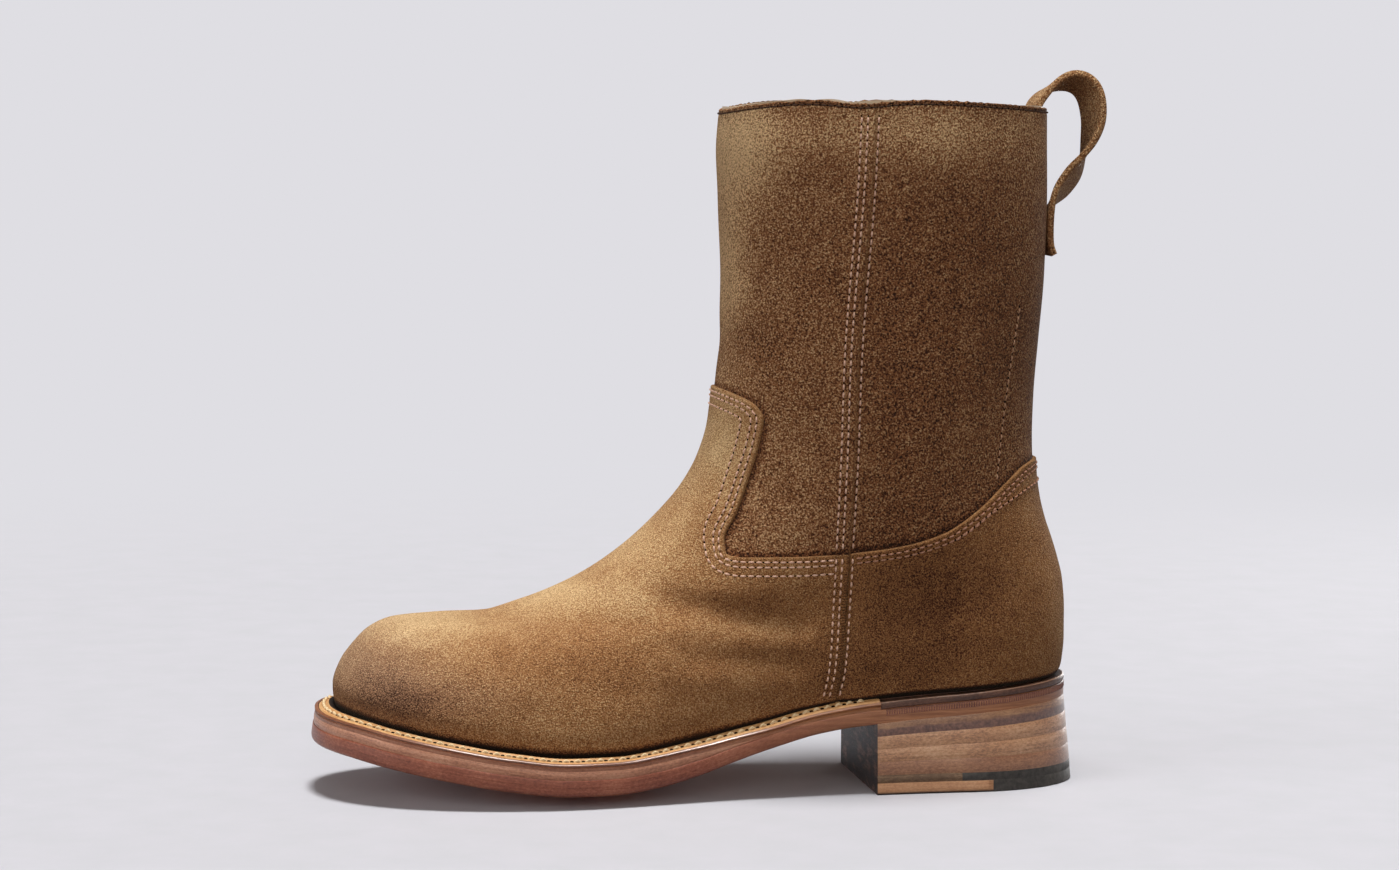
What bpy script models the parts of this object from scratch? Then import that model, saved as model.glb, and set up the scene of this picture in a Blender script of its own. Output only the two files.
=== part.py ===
"""A suede pull-on boot for the left foot, built from the pieces its maker would use.

Tables and sizes are in millimetres. They are measured from the tip of the outsole's toe:
x runs back to the heel, y to the inner side of the foot, z up from the floor.
"""
import math

import bmesh
import bpy
import numpy as np

MM = 0.001

# Driving sizes of the boot
OUTSOLE_LENGTH = 304.0
BALL_HALF_WIDTH = 55.0
BREAST_STATION = 220.4

# Middle of the whole boot, with its pull loop, as seen from above
LENGTH_MIDDLE = 159.8
WIDTH_MIDDLE = -1.6

# Thickness of each layer, and the air left between layers that are cemented or sewn together
GAP = 0.3
OUTSOLE_THICK = 5.4
MIDSOLE_THICK = 3.4
WELT_THICK = 3.0
RAND_THICK = 2.7
INSOLE_THICK = 3.0
UPPER_WALL = 2.4
OVERLAY_THICK = 1.1

# Forepart of the sole: its camber, its flat spot and where the half midsole is skived away
CAMBER = 4.0
CAMBER_FADES = (130.0, 205.0)
FLAT_SPOT_DEPTH = 0.9
WELT_JOINT_BEHIND_BREAST = 3.6
MIDSOLE_FADES = (135.0, 182.0)
MIDSOLE_LEAST = 0.6
LIP_UNDER_UPPER = 9.0
INSOLE_CLEARANCE = 0.5
FACET_EASE = 0.15
EDGE_FLARE = 0.6

# Heel: top piece, slanted breast and the flare of its back
TOP_PIECE_THICK = 4.6
TOP_LAYER_THICK = 2.8
RUBBER_LOWER_STATION = 268.7
RUBBER_UPPER_STATION = 255.7
BREAST_SLANT = 0.06
HEEL_SIDE_FLARE = 0.6
HEEL_BACK_FLARE = 2.6
LIFT_SHARES = (0.0, 0.25, 0.50, 0.75, 1.0)

# Where the half widths of a section are given, as shares of the way from its front to its back
FORE, MID, HIND = 0.29, 0.57, 0.86
BACK_POWER = 2.1
COLLAR_SIDE_RISE = 2.0
COLLAR_RISE_LEVELS = (0.85, 1.0)

# Fineness of the faceted solids
SOLE_STATIONS = 34
SOLE_ACROSS = 7
TIP_FLAT = 0.25
TIP_SHARE = 0.02
HEEL_STATIONS = 10
TOP_PIECE_STATIONS = 6
SHELF_STATIONS = 4
UPPER_RINGS = 23
LASTED_EDGE = 0.02
UPPER_AROUND = 42
STRIP_STEPS = 36
PLAN_STEPS = 720
VAMP_TOP_LEVEL = 0.83
COUNTER_TOP_LEVEL = 0.74
VAMP_EDGE_STEPS = 36
COUNTER_EDGE_STEPS = 18
SEAM_STEPS = 6
LOOP_STEPS = 34
SKIVE_STEPS = 200
SHARP_ANGLE = math.radians(35)

# Pull loop: a suede strap
STRAP_WIDTH = 18.0
STRAP_THICK = 2.6


def table(names, rows):
    """Turn rows under named columns into one array for each column."""
    return {name: np.array(values, float) for name, values in zip(names.split(), zip(*rows))}


# Under side of the sole along its middle: toe spring, ball, waist and heel seat
ROCKER = table("station height", [
    (0, 20.5), (15, 16.2), (30, 12.2), (50, 7.4), (75, 2.6), (100, 0.0), (118, 0.5),
    (135, 3.2), (150, 7.8), (165, 13.8), (180, 19.4), (200, 25.2), (222, 28.3), (262, 31.4), (304, 34.6)])

# Plan of the sole's edge, with the swing of the forepart towards the inner side
SOLE_PLAN = table(
    "front_x front_y back_x lat_fore lat_mid lat_hind med_fore med_mid med_hind"
    " front_round front_power back_round", [
        (0, 6, 304, 59.5, 43.0, 34.6, 50.0, 32.5, 34.6, 84, 2.25, 50)])

# Sections of the upper, from the feather edge on the welt up to the collar. Each one runs from
# the front of the boot to its back. sag is the share of the sole's own curve that it follows.
SECTIONS = table(
    "front_x front_y front_z back_x back_z sag lat_fore lat_mid lat_hind med_fore med_mid med_hind"
    " front_round front_power back_round", [
        (12.8, 5.5, 30.0, 299.2, 43.3, 1.00, 47.5, 34.0, 30.0, 43.0, 27.0, 30.0, 74, 2.25, 44),
        (10.6, 5.5, 35.0, 301.2, 46.5, 1.00, 50.5, 36.5, 31.6, 45.5, 29.0, 31.6, 72, 2.25, 45),
        (10.2, 5.2, 41.0, 302.0, 52.0, 0.96, 52.0, 38.2, 32.6, 47.0, 31.0, 32.6, 70, 2.25, 46),
        (12.6, 5.0, 49.0, 302.4, 57.0, 0.86, 51.0, 39.0, 33.2, 47.0, 32.5, 33.2, 71, 2.20, 47),
        (18.0, 4.6, 56.8, 302.4, 61.5, 0.74, 48.5, 39.2, 33.6, 46.0, 33.6, 33.6, 75, 2.15, 47),
        (24.4, 4.3, 63.0, 302.4, 65.5, 0.64, 45.0, 38.8, 33.8, 44.0, 34.2, 33.8, 82, 2.10, 47),
        (32.0, 4.0, 66.2, 302.4, 69.0, 0.56, 42.0, 38.2, 33.8, 41.5, 34.4, 33.8, 90, 2.05, 47),
        (45.0, 3.8, 67.4, 302.3, 72.5, 0.46, 40.0, 37.6, 33.8, 39.8, 34.6, 33.8, 98, 2.00, 47),
        (64.0, 3.5, 68.2, 302.0, 76.5, 0.36, 38.8, 37.2, 33.8, 38.2, 34.9, 33.8, 98, 2.00, 48),
        (84.0, 3.2, 73.0, 301.4, 82.0, 0.22, 38.4, 37.2, 34.0, 37.8, 35.4, 34.0, 92, 2.00, 49),
        (105.0, 2.8, 81.6, 299.7, 89.0, 0.10, 38.6, 37.8, 34.6, 38.0, 36.4, 34.6, 84, 2.00, 50),
        (122.8, 2.4, 92.8, 297.3, 97.0, 0.03, 39.2, 38.6, 35.6, 38.6, 37.8, 35.6, 77, 2.00, 52),
        (138.0, 2.0, 106.2, 294.2, 106.0, 0.00, 40.0, 39.6, 37.0, 39.4, 39.0, 37.0, 71, 2.00, 54),
        (149.6, 1.5, 119.6, 291.9, 115.5, 0.00, 40.8, 40.6, 38.4, 40.4, 40.2, 38.4, 67, 2.00, 57),
        (156.4, 1.0, 132.0, 290.6, 126.0, 0.00, 41.6, 41.5, 39.8, 41.4, 41.3, 39.8, 64, 2.02, 59),
        (160.4, 0.5, 145.6, 290.2, 139.0, 0.00, 42.4, 42.4, 41.2, 42.3, 42.3, 41.2, 62, 2.04, 60),
        (162.0, 0.2, 161.0, 290.8, 156.0, 0.00, 43.2, 43.4, 42.6, 43.2, 43.4, 42.6, 62, 2.06, 61),
        (163.4, 0.0, 182.0, 292.4, 179.0, 0.00, 44.3, 44.6, 44.2, 44.3, 44.6, 44.2, 62, 2.08, 62),
        (164.4, 0.0, 208.0, 294.4, 206.0, 0.00, 45.6, 45.9, 45.6, 45.6, 45.9, 45.6, 63, 2.10, 62),
        (163.6, 0.0, 235.0, 295.0, 234.0, 0.00, 46.8, 47.0, 46.8, 46.8, 47.0, 46.8, 64, 2.10, 62),
        (162.6, 0.0, 255.0, 294.9, 255.0, 0.00, 47.4, 47.6, 47.4, 47.4, 47.6, 47.4, 64, 2.10, 62),
        (163.6, 0.0, 270.4, 294.9, 270.4, 0.00, 47.4, 47.6, 47.4, 47.4, 47.6, 47.4, 64, 2.10, 62)])

# Upper edge of the vamp in side view: over the tongue, down its side and back to the side seam
VAMP_EDGE = table("x z", [
    (140.0, 161.2), (160.0, 160.4), (169.0, 157.8), (175.6, 153.9), (178.0, 149.0), (176.6, 140.0),
    (172.8, 127.0), (167.6, 112.5), (162.4, 101.2), (162.8, 96.6), (168.5, 95.2), (190.0, 95.5),
    (210.7, 96.6)])

# Upper edge of the heel counter in side view, from the side seam to the back
COUNTER_EDGE = table("x z", [
    (211.3, 96.6), (231.0, 99.1), (248.0, 103.8), (263.0, 113.0), (275.4, 123.4), (284.0, 129.2),
    (296.0, 131.6), (316.0, 132.4)])

# Side seam between vamp and counter
SIDE_SEAM = table("x z", [(211.0, 96.6), (209.9, 79.2), (208.0, 49.7), (204.6, 20.0)])
SEAM_GAP = 0.6

# Side-view limits that lie clear of the boot
BEYOND_TOE, BEYOND_HEEL, BELOW_FLOOR = -20.0, 330.0, -10.0

# Course of the pull loop's strap, from inside the collar over the top and down to its sewn tail
STRAP_COURSE = table("x z twist", [
    (288.6, 240.0, 0), (288.7, 254.0, 0), (288.9, 266.0, 0), (290.2, 273.4, 2), (294.4, 278.0, 2),
    (299.6, 280.8, -12), (305.6, 281.8, -24), (310.8, 279.4, -27), (314.0, 273.8, -25),
    (314.8, 266.5, -20), (313.2, 258.2, -6), (310.2, 250.4, 14), (306.0, 243.2, 28),
    (301.6, 237.2, 26), (297.8, 230.4, 8), (296.6, 222.0, 0), (296.6, 211.0, 0)])

# Colour and roughness of each finish
FINISHES = {
    "suede": ((0.300, 0.165, 0.065), 0.95),
    "suede_shaft": ((0.240, 0.125, 0.050), 0.95),
    "sole_edge": ((0.230, 0.090, 0.045), 0.40),
    "midsole_edge": ((0.280, 0.130, 0.070), 0.40),
    "natural_welt": ((0.620, 0.360, 0.150), 0.55),
    "dark_rand": ((0.060, 0.032, 0.024), 0.35),
    "heel_leather": ((0.330, 0.180, 0.090), 0.45),
    "top_leather": ((0.420, 0.250, 0.120), 0.50),
    "top_layer": ((0.180, 0.120, 0.080), 0.60),
    "rubber": ((0.045, 0.042, 0.040), 0.70),
    "insole_leather": ((0.560, 0.420, 0.270), 0.75),
}


def smooth(places, values, at, flat_ends=False):
    """A cubic through a table column that keeps its shape and never overshoots."""
    at = np.clip(at, places[0], places[-1])
    steps = np.diff(places)
    slopes = np.diff(values) / steps
    tangents = np.zeros(len(values))
    for k in range(1, len(values) - 1):
        if slopes[k - 1] * slopes[k] > 0:
            before = 2 * steps[k] + steps[k - 1]
            after = steps[k] + 2 * steps[k - 1]
            tangents[k] = (before + after) / (before / slopes[k - 1] + after / slopes[k])
    if not flat_ends:
        tangents[0] = slopes[0]
        tangents[-1] = slopes[-1]
    k = np.clip(np.searchsorted(places, at, side="right") - 1, 0, len(steps) - 1)
    u = (at - places[k]) / steps[k]
    start = (1 + 2 * u) * (1 - u) ** 2 * values[k] + u * (1 - u) ** 2 * steps[k] * tangents[k]
    end = u ** 2 * (3 - 2 * u) * values[k + 1] - u ** 2 * (1 - u) * steps[k] * tangents[k + 1]
    return start + end


def ease(value, span):
    """0 before the span, 1 after it, and a soft step between."""
    u = np.clip((value - span[0]) / (span[1] - span[0]), 0, 1)
    return u * u * (3 - 2 * u)


def rounding(distance, reach, power):
    """Share of its full width that a rounded end has at a distance from its tip."""
    left = 1 - np.clip(distance / reach, 0, 1)
    return (1 - left ** power) ** (1 / power)


def half_width(section, side, share):
    """Half width of a section on one side, with its rounded front and back ends."""
    stations = np.array([FORE, MID, HIND])
    widths = np.array([section[f"{side}_{place}"] for place in ("fore", "mid", "hind")])
    length = section["back_x"] - section["front_x"]
    plain = smooth(stations, widths, share, flat_ends=True)
    front = rounding(share * length, section["front_round"], section["front_power"])
    back = rounding((1 - share) * length, section["back_round"], BACK_POWER)
    return plain * front * back


def plan_ring(section, angles):
    """Plan of a section: angle 0 is its front, pi its back, and the outer side lies between."""
    share = (1 - np.cos(angles)) / 2
    x = section["front_x"] + share * (section["back_x"] - section["front_x"])
    outer = np.sin(angles) >= 0
    middle = section["front_y"] * (1 - share) ** 2
    lateral = half_width(section, "lat", share)
    medial = half_width(section, "med", share)
    return x, middle + np.where(outer, -lateral, medial)


def inset(x, y, distance):
    """Move a closed ring sideways, inwards for a positive distance."""
    along_x = np.roll(x, -1) - np.roll(x, 1)
    along_y = np.roll(y, -1) - np.roll(y, 1)
    length = np.hypot(along_x, along_y)
    return x - distance * along_y / length, y + distance * along_x / length


def sole_level(x, y):
    """Height of the sole's under side: rocker along it and camber across its forepart."""
    camber = CAMBER * (1 - ease(x, CAMBER_FADES))
    return smooth(ROCKER["station"], ROCKER["height"], x) + camber * (y / BALL_HALF_WIDTH) ** 2


def midsole_rise(x):
    return MIDSOLE_THICK * (1 - ease(x, MIDSOLE_FADES))


def welt_bed(x, y):
    """Height of the face that welt and rand lie on, with the gaps between the layers."""
    rise = midsole_rise(x)
    return sole_level(x, y) + OUTSOLE_THICK + GAP + rise + GAP * np.clip(rise / MIDSOLE_LEAST, 0, 1)


def full_turn(count):
    return np.arange(count) * 2 * math.pi / count


def section_at(level):
    """The upper's section at a level between 0, the feather edge, and 1, the collar."""
    rows = np.linspace(0, 1, len(SECTIONS["front_x"]))
    return {name: float(smooth(rows, values, np.array(level))) for name, values in SECTIONS.items()}


def upper_ring(level, angles):
    """One ring of the upper's outer face."""
    section = section_at(level)
    x, y = plan_ring(section, angles)
    share = (x - section["front_x"]) / (section["back_x"] - section["front_x"])
    straight = section["front_z"] + share * (section["back_z"] - section["front_z"])
    ends = welt_bed(np.array([section["front_x"], section["back_x"]]), np.zeros(2))
    chord = ends[0] + share * (ends[1] - ends[0])
    sagged = straight + section["sag"] * (welt_bed(x, y) - chord)
    rise = COLLAR_SIDE_RISE * ease(level, COLLAR_RISE_LEVELS) * np.sin(angles) ** 2
    return np.stack([x, y, sagged + rise], axis=-1)


def upper_levels():
    """Levels of the upper's rings: the feather edge, the lasted edge over it, then even steps."""
    return np.concatenate([[0.0, LASTED_EDGE], np.linspace(0, 1, UPPER_RINGS)[1:]])


def upper_grid(levels, angles):
    """Outer face of the upper as rings of points, and the outward direction at each."""
    points = np.array([upper_ring(level, angles) for level in levels])
    up = np.gradient(points, axis=0)
    around = np.roll(points, -1, axis=1) - np.roll(points, 1, axis=1)
    outward = np.cross(around, up)
    outward /= np.linalg.norm(outward, axis=2, keepdims=True)
    return points, outward


def make_material(finish):
    colour, roughness = FINISHES[finish]
    material = bpy.data.materials.new(finish)
    material.use_nodes = True
    shader = material.node_tree.nodes["Principled BSDF"]
    shader.inputs["Base Color"].default_value = (*colour, 1.0)
    shader.inputs["Roughness"].default_value = roughness
    shader.inputs["Metallic"].default_value = 0.0
    material.diffuse_color = (*colour, 1.0)
    return material


def add_object(name, work, finish, parent):
    """Turn a finished bmesh, in millimetres, into a named object under the boot's frame."""
    bmesh.ops.recalc_face_normals(work, faces=work.faces)
    bmesh.ops.scale(work, vec=(MM, MM, MM), verts=work.verts)
    mesh = bpy.data.meshes.new(name)
    work.to_mesh(mesh)
    work.free()
    thing = bpy.data.objects.new(name, mesh)
    bpy.context.collection.objects.link(thing)
    thing.parent = parent
    if finish:
        mesh.materials.append(bpy.data.materials.get(finish) or make_material(finish))
        mesh.shade_smooth()
        mesh.set_sharp_from_angle(angle=SHARP_ANGLE)
    return thing


def sweep(rings, closed):
    """Skin a row of closed rings. A closed sweep joins its last ring to the first one."""
    work = bmesh.new()
    loops = [[work.verts.new(point) for point in ring] for ring in rings]
    count = len(loops[0])
    pairs = list(zip(loops, loops[1:]))
    if closed:
        pairs.append((loops[-1], loops[0]))
    for low, high in pairs:
        for k in range(count):
            after = (k + 1) % count
            work.faces.new((low[k], low[after], high[after], high[k]))
    if not closed:
        work.faces.new(loops[0])
        work.faces.new(loops[-1])
    bmesh.ops.triangulate(work, faces=work.faces)
    return work


def slab_rings(stations, edges, bottom, top, shear=None):
    """Cross sections of a flat piece: from its outer to its inner edge along the top, back below."""
    rings = []
    for station in stations:
        low_edge, high_edge = edges(station)
        across = np.linspace(low_edge, high_edge, SOLE_ACROSS)
        along = np.full(SOLE_ACROSS, station)
        if shear:
            along = along + shear(station, across)
        upper_side = np.stack([along, across, top(along, across)], axis=-1)
        under_side = np.stack([along, across, bottom(along, across)], axis=-1)
        rings.append(np.concatenate([upper_side, under_side[::-1]]))
    return rings


def sole_section():
    return {name: float(values[0]) for name, values in SOLE_PLAN.items()}


def sole_edges(station, outwards=0.0, backwards=0.0):
    """Outer and inner edge of the sole at a station, with its sides and its back moved out."""
    section = sole_section()
    section["front_x"] -= outwards
    section["back_x"] += outwards + backwards
    length = section["back_x"] - section["front_x"]
    share = np.array((station - section["front_x"]) / length)
    middle = section["front_y"] * (1 - share) ** 2
    ends = rounding(share * length, section["front_round"], section["front_power"])
    ends *= rounding((1 - share) * length, section["back_round"], BACK_POWER)
    lateral = half_width(section, "lat", share) + outwards * ends
    medial = half_width(section, "med", share) + outwards * ends
    return float(middle - lateral), float(middle + medial)


def eased_stations(start, end, count, round_start, round_end):
    """Stations from start to end, close together at an end that is rounded."""
    low = TIP_SHARE if round_start else 0.5
    high = 1 - TIP_SHARE if round_end else 0.5
    shares = (1 - np.cos(np.linspace(low, high, count) * math.pi)) / 2
    shares = (shares - shares[0]) / (shares[-1] - shares[0])
    first = start + TIP_FLAT * round_start
    last = end - TIP_FLAT * round_end
    return first + shares * (last - first)


def sole_stations():
    return eased_stations(0.0, OUTSOLE_LENGTH, SOLE_STATIONS, True, True)


def make_outsole(parent):
    rings = slab_rings(
        sole_stations(), sole_edges,
        lambda x, y: np.maximum(sole_level(x, y) - FLAT_SPOT_DEPTH * (1 - ease(x, CAMBER_FADES)), 0.0),
        lambda x, y: sole_level(x, y) + OUTSOLE_THICK)
    return add_object("outsole", sweep(rings, False), "sole_edge", parent)


def make_midsole(parent):
    """The half midsole, which ends where it has been skived down to its least thickness.
    It shares the outsole's stations, so that their facets lie one over the other."""
    places = np.linspace(*MIDSOLE_FADES, SKIVE_STEPS)
    end = float(places[midsole_rise(places) > MIDSOLE_LEAST][-1])
    start = EDGE_FLARE + TIP_FLAT
    shared = sole_stations()
    shared = shared[(shared > start + TIP_FLAT) & (shared < end - TIP_FLAT)]
    stations = np.concatenate([[start], shared, [end]])
    bed = OUTSOLE_THICK + GAP
    rings = slab_rings(
        stations, lambda station: sole_edges(station, -EDGE_FLARE),
        lambda x, y: sole_level(x, y) + bed,
        lambda x, y: sole_level(x, y) + bed + midsole_rise(x) - FACET_EASE)
    return add_object("midsole", sweep(rings, False), "midsole_edge", parent)


def strip_rings(angles, thick):
    """Cross sections of a welt strip, from the sole's edge to its lip under the upper."""
    turn = full_turn(PLAN_STEPS)
    outer = inset(*plan_ring(sole_section(), turn), EDGE_FLARE)
    inner = inset(*plan_ring(section_at(0.0), turn), LIP_UNDER_UPPER)
    rings = []
    for angle in angles:
        near = [np.interp(angle, turn, values, period=2 * math.pi) for values in outer]
        far = [np.interp(angle, turn, values, period=2 * math.pi) for values in inner]
        corners = []
        for corner_x, corner_y, lift in ((*near, 0), (*far, 0), (*far, thick), (*near, thick)):
            corners.append((corner_x, corner_y, float(welt_bed(corner_x, corner_y)) + lift))
        rings.append(corners)
    return rings


def breast_angle(station):
    """Angle of the sole's plan at a station on its outer side."""
    return math.acos(1 - 2 * station / OUTSOLE_LENGTH)


def make_welt(parent):
    reach = breast_angle(BREAST_STATION + WELT_JOINT_BEHIND_BREAST)
    angles = np.linspace(-reach, reach, 2 * STRIP_STEPS)
    return add_object("welt", sweep(strip_rings(angles, WELT_THICK), False), "natural_welt", parent)


def make_heel_rand(parent):
    start = breast_angle(BREAST_STATION + WELT_JOINT_BEHIND_BREAST + 2 * GAP)
    angles = np.linspace(start, 2 * math.pi - start, STRIP_STEPS)
    return add_object("heel_rand", sweep(strip_rings(angles, RAND_THICK), False), "dark_rand", parent)


def heel_end(flare):
    """Station of the heel's back where it has a share of its full flare."""
    return OUTSOLE_LENGTH + flare * (HEEL_SIDE_FLARE + HEEL_BACK_FLARE)


def heel_rings(low, high, stations, flare, slant_ends):
    """Cross sections of a heel layer. low and high give its under and upper side at a station,
    flare the share of the heel's flare that it has and slant_ends where the breast's slant ends."""
    def shear(station, across):
        left = (slant_ends - station) / (slant_ends - BREAST_STATION)
        return -BREAST_SLANT * across * max(left, 0.0)

    return slab_rings(
        stations, lambda station: sole_edges(station, HEEL_SIDE_FLARE * flare, HEEL_BACK_FLARE * flare),
        lambda x, y: low(x) + 0 * y, lambda x, y: high(x) + 0 * y, shear)


def make_heel(parent):
    """Four wedge-shaped lifts between the outsole's heel seat and the top piece."""
    seat = TOP_PIECE_THICK + TOP_LAYER_THICK + 2 * GAP
    for number, (top_share, low_share) in enumerate(zip(LIFT_SHARES, LIFT_SHARES[1:]), 1):
        flare = (top_share + low_share) / 2
        end = heel_end(flare)
        rings = heel_rings(
            lambda x: (1 - low_share) * sole_level(x, 0 * x) + low_share * seat,
            lambda x: (1 - top_share) * sole_level(x, 0 * x) + top_share * seat - GAP,
            eased_stations(BREAST_STATION, end, HEEL_STATIONS, False, True), flare, end)
        add_object(f"heel_lift_{number}", sweep(rings, False), "heel_leather", parent)


def make_top_piece(parent):
    """Leather front with its thin layer above, and rubber behind that steps over the leather."""
    layer_low = TOP_PIECE_THICK + GAP
    top = layer_low + TOP_LAYER_THICK
    end = heel_end(1.0)
    for name, finish, low, high, stop in (
            ("top_piece_leather", "top_leather", 0.0, TOP_PIECE_THICK, RUBBER_LOWER_STATION),
            ("top_piece_layer", "top_layer", layer_low, top, RUBBER_UPPER_STATION)):
        stations = np.linspace(BREAST_STATION, stop - GAP, TOP_PIECE_STATIONS)
        rings = heel_rings(lambda x: low + 0 * x, lambda x: high + 0 * x, stations, 1.0, stop - GAP)
        add_object(name, sweep(rings, False), finish, parent)
    shelf = np.linspace(RUBBER_UPPER_STATION, RUBBER_LOWER_STATION - GAP, SHELF_STATIONS)
    body = eased_stations(RUBBER_LOWER_STATION, end, HEEL_STATIONS, False, True)
    rings = heel_rings(
        lambda x: np.where(x < RUBBER_LOWER_STATION, layer_low, 0.0), lambda x: top + 0 * x,
        np.concatenate([shelf, body]), 1.0, RUBBER_UPPER_STATION)
    add_object("top_piece_rubber", sweep(rings, False), "rubber", parent)


def make_upper(parent):
    """One hollow wall: its outer face up to the collar, then its inner face back down."""
    outer, outward = upper_grid(upper_levels(), full_turn(UPPER_AROUND))
    inner = outer - UPPER_WALL * outward
    inner[0, :, 2] = np.maximum(inner[0, :, 2], outer[0, :, 2])
    rings = np.concatenate([outer, inner[::-1]])
    return add_object("upper", sweep(rings, True), "suede_shaft", parent)


def make_insole(parent):
    """A board inside the upper's feather edge, lying on the inner lip of welt and rand."""
    section = section_at(0.0)
    margin = UPPER_WALL + INSOLE_CLEARANCE
    ring_x, ring_y = inset(*plan_ring(section, full_turn(PLAN_STEPS)), margin)
    half = len(ring_x) // 2

    def edges(station):
        lateral = np.interp(station, ring_x[:half + 1], ring_y[:half + 1])
        medial = np.interp(station, ring_x[half:][::-1], ring_y[half:][::-1])
        return lateral, medial

    bed = WELT_THICK + GAP + FACET_EASE
    stations = eased_stations(ring_x.min(), ring_x.max(), SOLE_STATIONS, True, True)
    rings = slab_rings(
        stations, edges,
        lambda x, y: welt_bed(x, y) + bed,
        lambda x, y: welt_bed(x, y) + bed + INSOLE_THICK)
    return add_object("insole", sweep(rings, False), "insole_leather", parent)


def prism(name, outline, parent):
    """A guide solid: a side-view outline drawn right across the boot."""
    reach = 2 * BALL_HALF_WIDTH
    rings = [[(x, side, z) for x, z in outline] for side in (-reach, reach)]
    guide = add_object(name, sweep(rings, False), None, parent)
    guide.hide_render = True
    guide.display_type = "WIRE"
    return guide


def smooth_line(points, count):
    """A smooth run through a table of side-view points, spaced by their distance."""
    steps = np.hypot(np.diff(points["x"]), np.diff(points["z"]))
    places = np.concatenate([[0], np.cumsum(steps)])
    at = np.linspace(0, places[-1], count)
    return list(zip(smooth(places, points["x"], at), smooth(places, points["z"], at)))


def make_overlay(name, levels, outline, parent):
    """A proud panel: the upper's own face between two offsets, cut by a side-view guide."""
    points, outward = upper_grid(levels, full_turn(UPPER_AROUND))
    near = points + GAP * outward
    far = points + (GAP + OVERLAY_THICK) * outward
    panel = add_object(name, sweep(np.concatenate([far, near[::-1]]), True), "suede", parent)
    cut = panel.modifiers.new("outline", "BOOLEAN")
    cut.operation = "INTERSECT"
    cut.object = prism(name + "_outline", outline, parent)
    return panel


def make_overlays(parent):
    """Vamp in front of the side seam and heel counter behind it."""
    levels = upper_levels()[1:]
    seam = smooth_line(SIDE_SEAM, SEAM_STEPS)[1:]
    vamp = smooth_line(VAMP_EDGE, VAMP_EDGE_STEPS)
    vamp_outline = [(BEYOND_TOE, vamp[0][1])] + vamp + seam
    vamp_outline += [(seam[-1][0], BELOW_FLOOR), (BEYOND_TOE, BELOW_FLOOR)]
    make_overlay("vamp", levels[levels < VAMP_TOP_LEVEL], vamp_outline, parent)
    counter = smooth_line(COUNTER_EDGE, COUNTER_EDGE_STEPS)
    behind = [(x + SEAM_GAP, z) for x, z in seam]
    counter_outline = counter + [(BEYOND_HEEL, counter[-1][1]), (BEYOND_HEEL, BELOW_FLOOR)]
    counter_outline += [(behind[-1][0], BELOW_FLOOR)] + behind[::-1]
    make_overlay("heel_counter", levels[levels < COUNTER_TOP_LEVEL], counter_outline, parent)


def make_pull_loop(parent):
    """A flat strap along its course, turned about its own length by the table's twist."""
    steps = np.hypot(np.diff(STRAP_COURSE["x"]), np.diff(STRAP_COURSE["z"]))
    places = np.concatenate([[0], np.cumsum(steps)])
    at = np.linspace(0, places[-1], LOOP_STEPS)
    x, z, twist = (smooth(places, STRAP_COURSE[name], at) for name in ("x", "z", "twist"))
    along = np.stack([np.gradient(x), np.gradient(z)], axis=-1)
    along /= np.linalg.norm(along, axis=1, keepdims=True)
    rings = []
    for k in range(LOOP_STEPS):
        turn = math.radians(twist[k])
        normal = np.array([-along[k, 1], 0.0, along[k, 0]])
        side = np.array([0.0, 1.0, 0.0])
        across = math.cos(turn) * side + math.sin(turn) * normal
        face = math.cos(turn) * normal - math.sin(turn) * side
        middle = np.array([x[k], 0.0, z[k]])
        rings.append([middle + STRAP_WIDTH / 2 * a * across + STRAP_THICK / 2 * b * face
                      for a, b in ((-1, -1), (1, -1), (1, 1), (-1, 1))])
    return add_object("pull_loop", sweep(rings, False), "suede", parent)


def main():
    for thing in list(bpy.data.objects):
        bpy.data.objects.remove(thing)
    boot = bpy.data.objects.new("boot_frame", None)
    boot.location = (-LENGTH_MIDDLE * MM, -WIDTH_MIDDLE * MM, 0.0)
    bpy.context.collection.objects.link(boot)
    make_outsole(boot)
    make_midsole(boot)
    make_welt(boot)
    make_heel_rand(boot)
    make_heel(boot)
    make_top_piece(boot)
    make_insole(boot)
    make_upper(boot)
    make_overlays(boot)
    make_pull_loop(boot)
    bpy.context.view_layer.update()


main()
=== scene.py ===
# %% [markdown]
# # A suede pull-on boot, piece by piece
# The packed CAD model fixes the size and the place of every piece. This lesson builds what is seen
# around it: suede panels with cut edges, rows of stitches, a leather sole and a stacked heel.
# All sizes are millimetres from the tip of the sole's toe, as a maker would measure them: x runs back
# to the heel, y to the inner side of the foot and z up. One function moves them into the frame.

# %% Load the packed boot
import math

import bmesh
import bpy
import numpy as np
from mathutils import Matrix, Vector
from mathutils.geometry import delaunay_2d_cdt
from mathutils.kdtree import KDTree


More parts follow.
